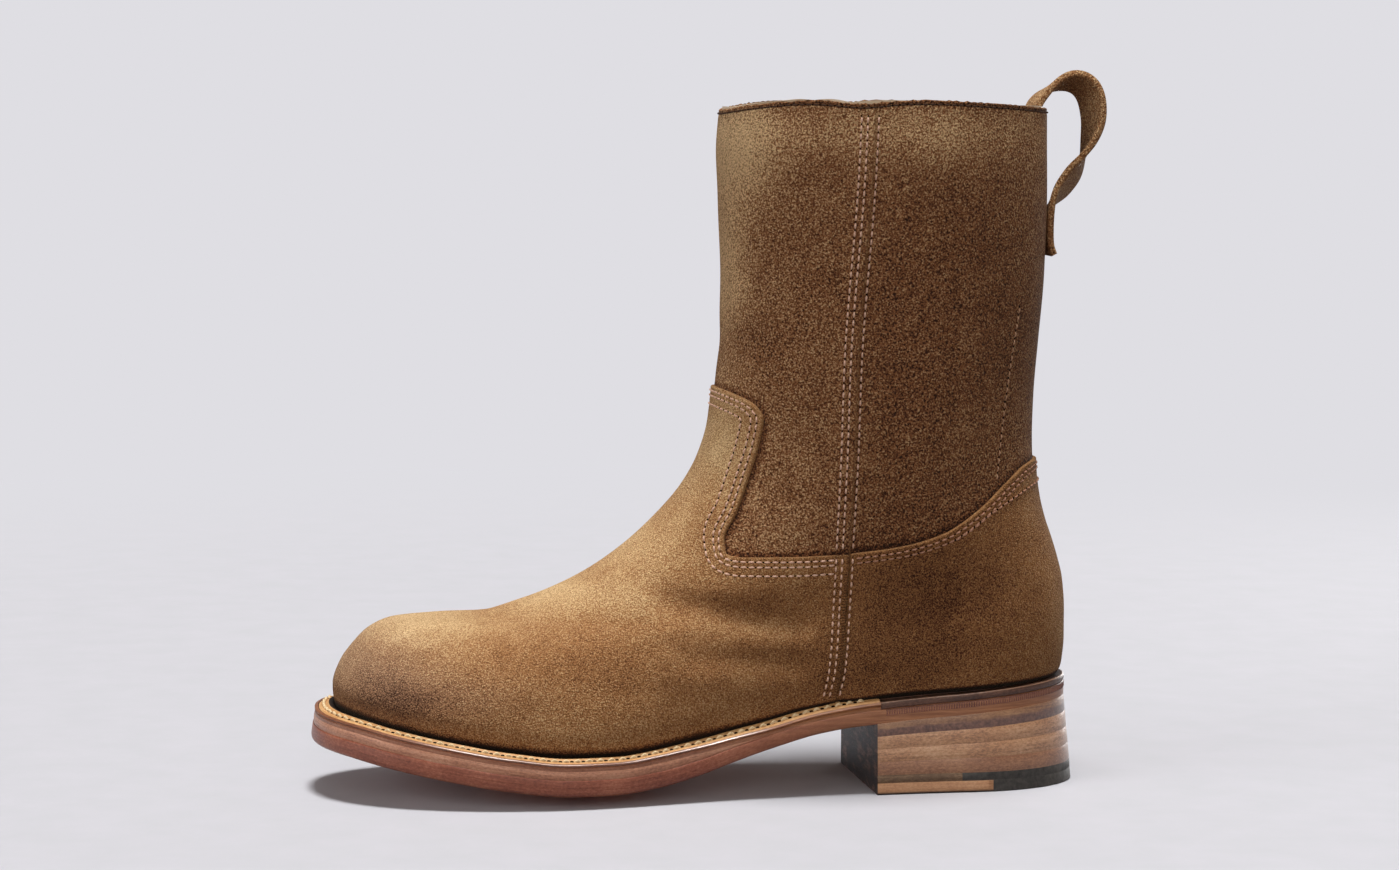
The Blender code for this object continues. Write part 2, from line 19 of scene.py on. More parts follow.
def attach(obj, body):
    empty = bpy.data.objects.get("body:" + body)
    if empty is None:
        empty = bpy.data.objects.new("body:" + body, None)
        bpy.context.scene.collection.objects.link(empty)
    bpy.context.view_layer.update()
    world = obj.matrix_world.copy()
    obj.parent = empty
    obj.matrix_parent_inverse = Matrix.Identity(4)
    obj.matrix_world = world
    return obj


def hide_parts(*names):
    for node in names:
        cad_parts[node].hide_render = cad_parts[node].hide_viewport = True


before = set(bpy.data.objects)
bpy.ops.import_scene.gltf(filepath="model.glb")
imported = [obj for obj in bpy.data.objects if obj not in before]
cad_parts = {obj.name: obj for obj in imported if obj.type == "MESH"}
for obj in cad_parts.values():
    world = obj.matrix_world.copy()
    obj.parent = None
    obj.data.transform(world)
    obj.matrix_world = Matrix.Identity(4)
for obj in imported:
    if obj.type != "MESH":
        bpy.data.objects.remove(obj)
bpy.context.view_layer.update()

MM = 0.001
FRAME_MIDDLE = np.array([159.8, -1.6, 0.0])


def in_frame(points):
    """Millimetres from the toe tip to metres in the boot's frame."""
    return (np.asarray(points, float) - FRAME_MIDDLE) * MM


print("CAD nodes:", ", ".join(sorted(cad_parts)))

# %% [markdown]
# ## Camera
# The boot was photographed from a little in front of its side and a little above, with a long lens.
# The camera could be turned by eye. Here its place, tilt and lens are numbers, so it can be checked.

# %% Camera
CAMERA_TURN, CAMERA_TILT = math.radians(6.0), math.radians(5.3)
CAMERA_AWAY, CAMERA_HEIGHT, CAMERA_ABREAST = 1440.6, 274.0, 155.7
LENS, SENSOR_WIDTH, NEAREST_SEEN = 93.05, 36.0, 0.05


def place_camera():
    """A camera far out to the side, that looks level along its turn and then a little down."""
    level = np.array([math.sin(CAMERA_TURN), math.cos(CAMERA_TURN), 0.0])
    spot = np.array([CAMERA_ABREAST, 0.0, CAMERA_HEIGHT]) - CAMERA_AWAY * level
    gaze = level * math.cos(CAMERA_TILT) - np.array([0, 0, math.sin(CAMERA_TILT)])
    camera = bpy.data.objects.new("camera", bpy.data.cameras.new("camera"))
    camera.data.lens = LENS
    camera.data.sensor_width = SENSOR_WIDTH
    camera.data.clip_start = NEAREST_SEEN
    camera.location = in_frame(spot)
    camera.rotation_euler = Vector(gaze).to_track_quat("-Z", "Y").to_euler()
    bpy.context.scene.collection.objects.link(camera)
    bpy.context.scene.camera = camera
    return camera


print("camera at", [round(v, 3) for v in place_camera().location])

# %% [markdown]
# ## Colours as they are seen
# Colours are given as a screen shows them, from 0 to 255. Linear values, which a shader works with,
# could be typed in directly, but nobody can read a colour from them.

# %% Seen colours
def colour(red, green, blue):
    """A colour as seen on a screen, as linear red, green, blue and alpha."""
    seen = np.array([red, green, blue]) / 255
    linear = np.where(seen <= 0.04045, seen / 12.92, ((seen + 0.055) / 1.055) ** 2.4)
    return (*[float(v) for v in linear], 1.0)


print("a mid grey of 128 is", round(colour(128, 128, 128)[0], 3), "in linear light")

# %% [markdown]
# ## A short way to write finishes
# A finish is a node material. Wiring nodes by hand is long-winded, so one small class offers the few
# nodes that leather needs. An image could carry the colours too, but nodes have no seams.

# %% Finish helper
class Finish:
    """A node material under construction."""

    def __init__(self, name, **settings):
        self.material = bpy.data.materials.new(name)
        self.material.use_nodes = True
        self.tree = self.material.node_tree
        self.shader = self.tree.nodes["Principled BSDF"]
        self.place = self.node("ShaderNodeTexCoord").outputs["Object"]
        for key, value in settings.items():
            self.set(key.replace("_", " ").title().replace("Ior", "IOR"), value)

    def node(self, kind, **settings):
        made = self.tree.nodes.new(kind)
        for key, value in settings.items():
            setattr(made, key, value)
        return made

    def feed(self, socket, value):
        """Wire a socket to another node's output, or give it a plain value."""
        if isinstance(value, bpy.types.NodeSocket):
            self.tree.links.new(value, socket)
        else:
            socket.default_value = value

    def set(self, name, value):
        self.feed(self.shader.inputs[name], value)

    def base(self):
        """What the shader's colour is wired to so far."""
        return self.shader.inputs["Base Color"].links[0].from_socket

    def attribute(self, name, output="Fac"):
        return self.node("ShaderNodeAttribute", attribute_name=name).outputs[output]

    def part(self, vector, axis):
        """One coordinate of a vector."""
        made = self.node("ShaderNodeSeparateXYZ")
        self.feed(made.inputs[0], vector)
        return made.outputs[axis]

    def stretched(self, factors, place=None):
        made = self.node("ShaderNodeVectorMath", operation="MULTIPLY")
        self.feed(made.inputs[0], place or self.place)
        made.inputs[1].default_value = factors
        return made.outputs[0]

    def noise(self, scale, detail=4.0, roughness=0.6, place=None):
        made = self.node("ShaderNodeTexNoise")
        self.feed(made.inputs["Vector"], place or self.place)
        for key, value in (("Scale", scale), ("Detail", detail), ("Roughness", roughness)):
            made.inputs[key].default_value = value
        return made.outputs[0]

    def cells(self, scale):
        made = self.node("ShaderNodeTexVoronoi", feature="SMOOTH_F1")
        self.feed(made.inputs["Vector"], self.place)
        for key, value in (("Scale", scale), ("Smoothness", 0.6), ("Randomness", 1.0)):
            made.inputs[key].default_value = value
        return made.outputs["Distance"]

    def math(self, operation, first, second):
        made = self.node("ShaderNodeMath", operation=operation)
        self.feed(made.inputs[0], first)
        self.feed(made.inputs[1], second)
        return made.outputs[0]

    def plus_share(self, base, value, share):
        """base + share times value."""
        made = self.node("ShaderNodeMath", operation="MULTIPLY_ADD")
        for socket, part in zip(made.inputs, (value, share, base)):
            self.feed(socket, part)
        return made.outputs[0]

    def blend(self, first, second, share):
        """A share of the first value and the rest of the second."""
        return self.plus_share(self.math("MULTIPLY", first, share), second, 1.0 - share)

    def spread(self, value, low=0.3, high=0.7):
        """Stretch the middle of a noise, from low to high, over 0 to 1."""
        made = self.node("ShaderNodeMapRange")
        self.feed(made.inputs["Value"], value)
        made.inputs["From Min"].default_value = low
        made.inputs["From Max"].default_value = high
        return made.outputs[0]

    def ramp(self, value, tints, stops=(0.3, 0.7)):
        """Seen colours at their stops, and all colours between them."""
        made = self.node("ShaderNodeValToRGB")
        elements = made.color_ramp.elements
        while len(elements) < len(stops):
            elements.new(0.5)
        for element, stop, tint in zip(elements, stops, tints):
            element.position = stop
            element.color = colour(*tint)
        self.feed(made.inputs[0], value)
        return made.outputs[0]

    def mix(self, share, first, second, blend="MIX"):
        made = self.node("ShaderNodeMix", data_type="RGBA", blend_type=blend)
        self.feed(made.inputs[0], share)
        self.feed(made.inputs[6], first)
        self.feed(made.inputs[7], second)
        return made.outputs[2]

    def bump(self, height, depth_mm):
        made = self.node("ShaderNodeBump")
        made.inputs["Strength"].default_value = 1.0
        made.inputs["Distance"].default_value = depth_mm * MM
        self.feed(made.inputs["Height"], height)
        return made.outputs[0]


print("a finish can use:", ", ".join(name for name in vars(Finish) if not name.startswith("_")))

# %% [markdown]
# ## The floor
# A studio's floor runs up behind the object without an edge. A flat plane would show a horizon, so it
# is a wide shallow bowl: pale paint that takes the shadow near the boot, and a soft glow far from it.

# %% Floor
BACKDROP = colour(223, 222, 227)
FLOOR_REACH, FLOOR_FLAT, FLOOR_RISE = 9.0, 4.0, 1.5
FLOOR_RINGS, FLOOR_AROUND, RING_CROWDING = 40, 96, 1.5
PAINT_ENDS, GLOW_STARTS = 0.55, 1.25


def floor_finish():
    """Pale paint near the boot that turns into a glow far from it."""
    paint = Finish("studio_floor", roughness=0.9, specular_ior_level=0.1)
    paint.set("Base Color", paint.ramp(paint.noise(40.0, 3.0), ((206, 208, 215), (210, 211, 219))))
    glow = paint.node("ShaderNodeEmission")
    glow.inputs["Color"].default_value = BACKDROP
    away = paint.node("ShaderNodeVectorMath", operation="LENGTH")
    paint.feed(away.inputs[0], paint.place)
    share = paint.node("ShaderNodeMapRange", interpolation_type="SMOOTHSTEP")
    paint.feed(share.inputs["Value"], away.outputs["Value"])
    share.inputs["From Min"].default_value = PAINT_ENDS
    share.inputs["From Max"].default_value = GLOW_STARTS
    both = paint.node("ShaderNodeMixShader")
    paint.feed(both.inputs[0], share.outputs[0])
    paint.feed(both.inputs[1], paint.shader.outputs[0])
    paint.feed(both.inputs[2], glow.outputs[0])
    paint.feed(paint.tree.nodes["Material Output"].inputs["Surface"], both.outputs[0])
    return paint.material


def make_floor():
    points, faces = [(0.0, 0.0, 0.0)], []
    for ring in range(1, FLOOR_RINGS + 1):
        reach = FLOOR_REACH * (ring / FLOOR_RINGS) ** RING_CROWDING
        rise = FLOOR_RISE * max(0.0, (reach - FLOOR_FLAT) / (FLOOR_REACH - FLOOR_FLAT)) ** 2
        for k in range(FLOOR_AROUND):
            turn = 2 * math.pi * k / FLOOR_AROUND
            points.append((reach * math.cos(turn), reach * math.sin(turn), rise))
    for k in range(FLOOR_AROUND):
        after = (k + 1) % FLOOR_AROUND
        faces.append((0, 1 + k, 1 + after))
        for ring in range(FLOOR_RINGS - 1):
            low, high = 1 + ring * FLOOR_AROUND, 1 + (ring + 1) * FLOOR_AROUND
            faces.append((low + k, high + k, high + after, low + after))
    mesh = bpy.data.meshes.new("studio_floor")
    mesh.from_pydata(points, [], faces)
    mesh.shade_smooth()
    mesh.materials.append(floor_finish())
    floor = bpy.data.objects.new("studio_floor", mesh)
    floor.visible_diffuse = False
    bpy.context.scene.collection.objects.link(floor)
    print("studio floor:", len(faces), "faces")


make_floor()

# %% [markdown]
# ## The lights
# Three soft sources light the boot: overhead, from the front and from the toe's side. Area lamps could
# do it, but a wide sun lamp lights all of the boot alike. A card behind the heel shows only as a
# reflection in the waxed edges, and a pale warm room fills the shadows.

# %% Lights
ROOM_TINT, ROOM_STRENGTH = colour(238, 218, 208), 0.155


def add_sun(name, source, strength, spread_deg, tint):
    """A soft source, far off in the direction of its source."""
    lamp = bpy.data.lights.new(name, "SUN")
    lamp.energy = strength
    lamp.angle = math.radians(spread_deg)
    lamp.color = tint
    made = bpy.data.objects.new(name, lamp)
    made.rotation_euler = Vector(source).to_track_quat("Z", "Y").to_euler()
    bpy.context.scene.collection.objects.link(made)


def add_card(name, spot, target, size, power):
    """A bright card that shows only as a reflection, on the heel's and the sole's waxed edge."""
    lamp = bpy.data.lights.new(name, "AREA")
    lamp.shape = "RECTANGLE"
    lamp.size, lamp.size_y = size
    lamp.energy = power
    made = bpy.data.objects.new(name, lamp)
    made.location = spot
    made.rotation_euler = (Vector(target) - Vector(spot)).to_track_quat("-Z", "Y").to_euler()
    made.visible_diffuse = made.visible_camera = False
    bpy.context.scene.collection.objects.link(made)


def light_room():
    world = bpy.data.worlds.new("studio_room")
    world.use_nodes = True
    sky = world.node_tree.nodes["Background"]
    sky.inputs["Color"].default_value = ROOM_TINT
    sky.inputs["Strength"].default_value = ROOM_STRENGTH
    bpy.context.scene.world = world
    bpy.context.scene.view_settings.view_transform = "Standard"


add_sun("overhead_softbox", source=(0.05, -0.05, 0.997), strength=2.84, spread_deg=15.0,
        tint=(1.0, 0.985, 0.965))
add_sun("front_softbox", source=(0.0, -0.94, 0.34), strength=0.60, spread_deg=40.0,
        tint=(1.0, 0.955, 0.91))
add_sun("toe_side_fill", source=(-0.90, -0.36, 0.20), strength=1.05, spread_deg=50.0,
        tint=(0.98, 0.99, 1.0))
add_card("back_card", spot=(1.05, 1.30, 0.30), target=(0.14, 0.0, 0.05), size=(0.9, 0.6), power=13.0)
light_room()

# %% [markdown]
# ## The shape of the last
# A boot is pulled over a last, a solid form of the foot. It could be sculpted, but here it is short
# tables, as in the CAD model: the sole's curve, its plan, and sections from the welt to the collar.
# Camber, toe spring and the toe's feather line are a little higher than in the CAD, as in the photo.

# %% Tables
def table(names, rows):
    """Turn rows under named columns into one array for each column."""
    return {name: np.array(values, float) for name, values in zip(names.split(), zip(*rows))}


OUTSOLE_LENGTH = 304.0
BALL_HALF_WIDTH = 55.0
BREAST_STATION = 220.4
GAP, OUTSOLE_THICK, MIDSOLE_THICK = 0.3, 5.4, 3.4
CAMBER, CAMBER_FADES, FLAT_SPOT_DEPTH = 6.0, (130.0, 205.0), 0.9
MIDSOLE_FADES, MIDSOLE_LEAST = (135.0, 182.0), 0.6
FORE, MID, HIND, BACK_POWER = 0.29, 0.57, 0.86, 2.1
COLLAR_SIDE_RISE, COLLAR_RISE_LEVELS = 2.0, (0.85, 1.0)

ROCKER = table("station height", [
    (0, 21.0), (15, 17.2), (30, 12.8), (50, 7.7), (75, 2.7), (100, 0.0), (118, 0.5),
    (135, 3.2), (150, 7.8), (165, 13.8), (180, 19.4), (200, 25.2), (222, 28.3), (262, 31.4), (304, 34.6)])

SOLE_PLAN = table(
    "front_x front_y back_x lat_fore lat_mid lat_hind med_fore med_mid med_hind"
    " front_round front_power back_round", [
        (0, 6, 304, 59.5, 43.0, 34.6, 50.0, 32.5, 34.6, 84, 2.25, 50)])

SECTIONS = table(
    "front_x front_y front_z back_x back_z sag lat_fore lat_mid lat_hind med_fore med_mid med_hind"
    " front_round front_power back_round", [
        (12.8, 5.5, 30.9, 299.2, 43.3, 1.00, 47.5, 34.0, 30.0, 43.0, 27.0, 30.0, 74, 2.25, 44),
        (10.6, 5.5, 35.8, 301.2, 46.5, 1.00, 50.5, 36.5, 31.6, 45.5, 29.0, 31.6, 72, 2.25, 45),
        (10.2, 5.2, 41.5, 302.0, 52.0, 0.96, 52.0, 38.2, 32.6, 47.0, 31.0, 32.6, 70, 2.25, 46),
        (12.6, 5.0, 49.0, 302.4, 57.0, 0.86, 51.0, 39.0, 33.2, 47.0, 32.5, 33.2, 71, 2.20, 47),
        (18.0, 4.6, 56.8, 302.4, 61.5, 0.74, 48.5, 39.2, 33.6, 46.0, 33.6, 33.6, 75, 2.15, 47),
        (24.4, 4.3, 63.0, 302.4, 65.5, 0.64, 45.0, 38.8, 33.8, 44.0, 34.2, 33.8, 82, 2.10, 47),
        (32.0, 4.0, 66.2, 302.4, 69.0, 0.56, 42.0, 38.2, 33.8, 41.5, 34.4, 33.8, 90, 2.05, 47),
        (45.0, 3.8, 67.4, 302.3, 72.5, 0.46, 40.0, 37.6, 33.8, 39.8, 34.6, 33.8, 98, 2.00, 47),
        (64.0, 3.5, 68.2, 302.0, 76.5, 0.36, 38.8, 37.2, 33.8, 38.2, 34.9, 33.8, 98, 2.00, 48),
        (84.0, 3.2, 73.0, 301.4, 82.0, 0.22, 38.4, 37.2, 34.0, 37.8, 35.4, 34.0, 92, 2.00, 49),
        (105.0, 2.8, 81.6, 299.7, 89.0, 0.10, 38.6, 37.8, 34.6, 38.0, 36.4, 34.6, 84, 2.00, 50),
        (122.8, 2.4, 92.8, 297.3, 97.0, 0.03, 39.2, 38.6, 35.6, 38.6, 37.8, 35.6, 77, 2.00, 52),
        (138.0, 2.0, 106.2, 294.2, 106.0, 0.00, 40.0, 39.6, 37.0, 39.4, 39.0, 37.0, 71, 2.00, 54),
        (149.6, 1.5, 119.6, 291.9, 115.5, 0.00, 40.8, 40.6, 38.4, 40.4, 40.2, 38.4, 67, 2.00, 57),
        (156.4, 1.0, 132.0, 290.6, 126.0, 0.00, 41.6, 41.5, 39.8, 41.4, 41.3, 39.8, 64, 2.02, 59),
        (160.4, 0.5, 145.6, 290.2, 139.0, 0.00, 42.4, 42.4, 41.2, 42.3, 42.3, 41.2, 62, 2.04, 60),
        (162.0, 0.2, 161.0, 290.8, 156.0, 0.00, 43.2, 43.4, 42.6, 43.2, 43.4, 42.6, 62, 2.06, 61),
        (163.4, 0.0, 182.0, 292.4, 179.0, 0.00, 44.3, 44.6, 44.2, 44.3, 44.6, 44.2, 62, 2.08, 62),
        (164.4, 0.0, 208.0, 294.4, 206.0, 0.00, 45.6, 45.9, 45.6, 45.6, 45.9, 45.6, 63, 2.10, 62),
        (163.6, 0.0, 235.0, 295.0, 234.0, 0.00, 46.8, 47.0, 46.8, 46.8, 47.0, 46.8, 64, 2.10, 62),
        (162.6, 0.0, 255.0, 294.9, 255.0, 0.00, 47.4, 47.6, 47.4, 47.4, 47.6, 47.4, 64, 2.10, 62),
        (163.6, 0.0, 270.4, 294.9, 270.4, 0.00, 47.4, 47.6, 47.4, 47.4, 47.6, 47.4, 64, 2.10, 62)])

print("sections of the upper:", len(SECTIONS["sag"]))

# %% [markdown]
# ## Smooth curves through a table
# Straight lines between the rows of a table would show as facets. A cubic through each column is
# smooth, and this one never bulges between two rows, as a plain spline may.

# %% Smooth curves
def smooth(places, values, at, flat_ends=False):
    """A cubic through a table column that keeps its shape and never overshoots. values may have a
    column of its own for each point that is asked for."""
    places, at = np.asarray(places, float), np.asarray(at, float)
    columns = np.asarray(values, float).reshape(len(places), -1)
    steps = np.diff(places)[:, None]
    slopes = np.diff(columns, axis=0) / steps
    tangents = np.zeros_like(columns)
    before = 2 * steps[1:] + steps[:-1]
    after = steps[1:] + 2 * steps[:-1]
    same_way = slopes[:-1] * slopes[1:] > 0
    left = np.where(same_way, slopes[:-1], 1.0)
    right = np.where(same_way, slopes[1:], 1.0)
    tangents[1:-1] = np.where(same_way, (before + after) / (before / left + after / right), 0.0)
    if not flat_ends:
        tangents[0], tangents[-1] = slopes[0], slopes[-1]
    at = np.clip(at, places[0], places[-1])
    k = np.clip(np.searchsorted(places, at, side="right") - 1, 0, len(places) - 2)
    column = np.arange(at.size).reshape(at.shape) if columns.shape[1] > 1 else np.zeros_like(k)
    step = steps[k, 0]
    u = (at - places[k]) / step
    start = (1 + 2 * u) * (1 - u) ** 2 * columns[k, column] + u * (1 - u) ** 2 * step * tangents[k, column]
    end = u ** 2 * (3 - 2 * u) * columns[k + 1, column] - u ** 2 * (1 - u) * step * tangents[k + 1, column]
    return start + end


def ease(value, span):
    """0 before the span, 1 after it, and a soft step between."""
    u = np.clip((np.asarray(value, float) - span[0]) / (span[1] - span[0]), 0, 1)
    return u * u * (3 - 2 * u)


def hump(distance, width):
    """A soft bell of height 1."""
    return np.exp(-(np.asarray(distance, float) / width) ** 2)


def rounding(distance, reach, power):
    """Share of its full width that a rounded end has at a distance from its tip."""
    left = 1 - np.clip(distance / reach, 0, 1)
    return (1 - left ** power) ** (1 / power)


def half_width(section, side, share):
    """Half width of a section on one side, with its rounded front and back ends."""
    widths = [np.broadcast_to(section[f"{side}_{place}"], share.shape) for place in ("fore", "mid", "hind")]
    length = section["back_x"] - section["front_x"]
    plain = smooth(np.array([FORE, MID, HIND]), np.stack(widths), share, flat_ends=True)
    front = rounding(share * length, section["front_round"], section["front_power"])
    back = rounding((1 - share) * length, section["back_round"], BACK_POWER)
    return plain * front * back


def plan_ring(section, angles):
    """Plan of a section: angle 0 is its front, pi its back, and the outer side lies between."""
    share = (1 - np.cos(angles)) / 2
    x = section["front_x"] + share * (section["back_x"] - section["front_x"])
    middle = section["front_y"] * (1 - share) ** 2
    lateral = half_width(section, "lat", share)
    medial = half_width(section, "med", share)
    return x, middle + np.where(np.sin(angles) >= 0, -lateral, medial)


def sole_level(x, y):
    """Height of the sole's under side: rocker along it and camber across its forepart."""
    camber = CAMBER * (1 - ease(x, CAMBER_FADES))
    return smooth(ROCKER["station"], ROCKER["height"], x) + camber * (y / BALL_HALF_WIDTH) ** 2


def midsole_rise(x):
    return MIDSOLE_THICK * (1 - ease(x, MIDSOLE_FADES))


def welt_bed(x, y):
    """Height of the face that welt and rand lie on."""
    rise = midsole_rise(x)
    return sole_level(x, y) + OUTSOLE_THICK + GAP + rise + GAP * np.clip(rise / MIDSOLE_LEAST, 0, 1)


HEEL_MIDDLE = 262.0
heel_seat_height = float(sole_level(np.array(HEEL_MIDDLE), np.array(0.0)))
print("heel seat", round(heel_seat_height, 1), "mm above the floor")

# %% [markdown]
# ## The upper as one surface
# Every seam, panel and stitch lies on one curved face. It could be a mesh that things are projected
# on. Here it is a function of a level and an angle, so any place on it can be worked out exactly.

# %% The upper's face
OUTWARD_STEP = 2e-3
NET_LEVELS, NET_ANGLES = np.linspace(0.0, 1.0, 61), np.linspace(0.12, 3.02, 60)
SEARCH_STEPS, SMALL_STEP, LEAST_SLOPE = 10, 1e-4, 1e-6
LEVEL_REACH, ANGLE_REACH = 0.05, 0.15
LEAST_ANGLE, MOST_ANGLE = 0.02, 3.12


def stacked(*parts):
    """Points from an array, or one number, for each coordinate."""
    return np.stack(np.broadcast_arrays(*parts), axis=-1)


def upper_point(level, angle):
    """Points of the upper's outer face: level 0 is the feather edge on the welt, 1 the collar."""
    level, angle = np.broadcast_arrays(np.asarray(level, float), np.asarray(angle, float))
    shape = level.shape
    level, angle = level.ravel(), angle.ravel()
    rows = np.linspace(0, 1, len(SECTIONS["sag"]))
    section = {name: smooth(rows, values, level) for name, values in SECTIONS.items()}
    x, y = plan_ring(section, angle)
    share = (x - section["front_x"]) / (section["back_x"] - section["front_x"])
    straight = section["front_z"] + share * (section["back_z"] - section["front_z"])
    front_bed = welt_bed(section["front_x"], 0 * x)
    back_bed = welt_bed(section["back_x"], 0 * x)
    chord = front_bed + share * (back_bed - front_bed)
    rise = COLLAR_SIDE_RISE * ease(level, COLLAR_RISE_LEVELS) * np.sin(angle) ** 2
    z = straight + section["sag"] * (welt_bed(x, y) - chord) + rise
    return stacked(x, y, z).reshape(*shape, 3)


def upper_outward(level, angle):
    """Outward direction of the upper's face at the same places."""
    level, angle = np.broadcast_arrays(np.asarray(level, float), np.asarray(angle, float))
    above, below = np.minimum(level + OUTWARD_STEP, 1), np.maximum(level - OUTWARD_STEP, 0)
    up = upper_point(above, angle) - upper_point(below, angle)
    around = upper_point(level, angle + OUTWARD_STEP) - upper_point(level, angle - OUTWARD_STEP)
    outward = np.cross(around, up)
    return outward / np.linalg.norm(outward, axis=-1, keepdims=True)


def find_on_upper(x, z, side):
    """Level and angle of the points that are at x and z in side view, on the outer side (1) or the
    inner side (-1). A coarse net gives the start, and a few steps along the slopes the rest."""
    x, z = np.asarray(x, float), np.asarray(z, float)
    net_level, net_angle = np.meshgrid(NET_LEVELS, NET_ANGLES, indexing="ij")
    net = upper_point(net_level, side * net_angle)
    miss = (net[..., 0].ravel()[None] - x[:, None]) ** 2 + (net[..., 2].ravel()[None] - z[:, None]) ** 2
    nearest = miss.argmin(axis=1)
    level, angle = net_level.ravel()[nearest], net_angle.ravel()[nearest]
    for _ in range(SEARCH_STEPS):
        here = upper_point(level, side * angle)
        by_level = (upper_point(level + SMALL_STEP, side * angle) - here) / SMALL_STEP
        by_angle = (upper_point(level, side * (angle + SMALL_STEP)) - here) / SMALL_STEP
        off_x, off_z = x - here[:, 0], z - here[:, 2]
        det = by_level[:, 0] * by_angle[:, 2] - by_level[:, 2] * by_angle[:, 0]
        det = np.where(np.abs(det) < LEAST_SLOPE, LEAST_SLOPE, det)
        rise = (off_x * by_angle[:, 2] - off_z * by_angle[:, 0]) / det
        turn = (by_level[:, 0] * off_z - by_level[:, 2] * off_x) / det
        level = np.clip(level + np.clip(rise, -LEVEL_REACH, LEVEL_REACH), 0, 1 - SMALL_STEP)
        angle = np.clip(angle + np.clip(turn, -ANGLE_REACH, ANGLE_REACH), LEAST_ANGLE, MOST_ANGLE)
    return level, side * angle


probe = upper_point(*find_on_upper([190.0], [120.0], 1))
print("a point of the side found at", probe.round(2).tolist())

# %% [markdown]
# ## From points to pieces
# Most pieces are rows of points skinned with quads. A few helpers make the mesh, let it ride on the
# boot's only body and hide the CAD node it stands for. Values that a finish needs at each point are
# stored on the mesh as attributes.

# %% Mesh helpers
def make_piece(name, points, faces, materials, slot, stands_for=(), face_material=None, sharp_deg=40):
    """A named piece from points in millimetres."""
    mesh = bpy.data.meshes.new(name)
    mesh.from_pydata(in_frame(points).tolist(), [], [list(map(int, face)) for face in faces])
    for material in materials:
        mesh.materials.append(material)
    if face_material is not None:
        mesh.polygons.foreach_set("material_index", np.asarray(face_material, np.int32))
    work = bmesh.new()
    work.from_mesh(mesh)
    bmesh.ops.recalc_face_normals(work, faces=work.faces)
    work.to_mesh(mesh)
    work.free()
    mesh.shade_smooth()
    mesh.set_sharp_from_angle(angle=math.radians(sharp_deg))
    piece = bpy.data.objects.new(name, mesh)
    bpy.context.scene.collection.objects.link(piece)
    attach(piece, "root")
    if stands_for:
        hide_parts(*stands_for)
    print(f"{name}: {len(mesh.vertices)} points, {len(mesh.polygons)} faces")
    return piece


def note(piece, name, values):
    """Store a number, or a vector, for each point of a piece."""
    values = np.asarray(values, np.float32)
    kind, field = ("FLOAT", "value") if values.ndim == 1 else ("FLOAT_VECTOR", "vector")
    made = piece.data.attributes.new(name, kind, "POINT")
    made.data.foreach_set(field, values.ravel())


def quads(grid):
    """Four-cornered faces over a grid of point numbers."""
    return stacked(grid[:-1, :-1], grid[:-1, 1:], grid[1:, 1:], grid[1:, :-1]).reshape(-1, 4)


def skin(rows, columns, closed_rows=False, closed_columns=True):
    """Quads over rows of points. A closed one also joins its last row or column to the first."""
    grid = np.arange(rows * columns).reshape(rows, columns)
    if closed_rows:
        grid = np.vstack([grid, grid[:1]])
    if closed_columns:
        grid = np.hstack([grid, grid[:, :1]])
    return quads(grid)


print("a 3 by 4 tube has", len(skin(3, 4)), "quads")

# %% [markdown]
# ## Lines of points
# Edges, seams and rows of stitches are lines of points. Curve objects could hold them, but plain
# arrays are easier to cut, move and measure.

# %% Line helpers
def along_line(points):
    """Distance along a line of points."""
    steps = np.linalg.norm(np.diff(points, axis=0), axis=1)
    return np.concatenate([[0], np.cumsum(steps)])


def read_along(values, places, at):
    """Values at distances along a line whose own points lie at the places."""
    return np.stack([np.interp(at, places, values[:, k]) for k in range(values.shape[1])], axis=-1)


def respace(points, step):
    """The same line with its points an even step apart."""
    points = np.asarray(points, float)
    places = along_line(points)
    at = np.linspace(0, places[-1], max(2, int(round(places[-1] / step)) + 1))
    return read_along(points, places, at)


def smooth_line(points, step):
    """A smooth line through a table of side-view points."""
    line = stacked(points["x"], points["z"])
    places = along_line(line)
    at = np.linspace(0, places[-1], int(places[-1] / step) + 1)
    return stacked(smooth(places, line[:, 0], at), smooth(places, line[:, 1], at))


print("a line of 10 mm in steps of 2 mm has", len(respace([(0, 0), (10, 0)], 2.0)), "points")

# %% [markdown]
# ## Suede
# Suede is the flesh side of the hide, buffed until short fibres stand up: no gloss, a soft glow at
# grazing angles and brushed clouds. Hair strands could stand for the fibres, but they are too many.
# One recipe makes the shaft's coarse hide and the vamp's finer one: clouds, a stored tone, crumbs and
# bump. The stored tone also carries painted light and shade, and the crumbs' colour paints light on
# their tops and shade in their pits.

# %% Suede finish
# Painted shade: a stored tone pushed below zero paints the nap near black, as in the gap above the welt.
PAINTED_SHADE_DARK, PAINTED_SHADE_TONES = colour(26, 17, 10), (-0.30, 0.02)
CUT_SUEDE, DUST = colour(190, 140, 90), colour(128, 124, 118)
SHEEN_TINT = (1.0, 0.82, 0.58, 1.0)
CLOUD_SHARE, BRUSH_SHARE, PIT_PAINTED_SHADE_SHARE, PIT_DEPTH = 0.10, 0.08, -0.6, -0.8
NAP_STOPS = (0.0, 0.08, 0.50, 0.98)


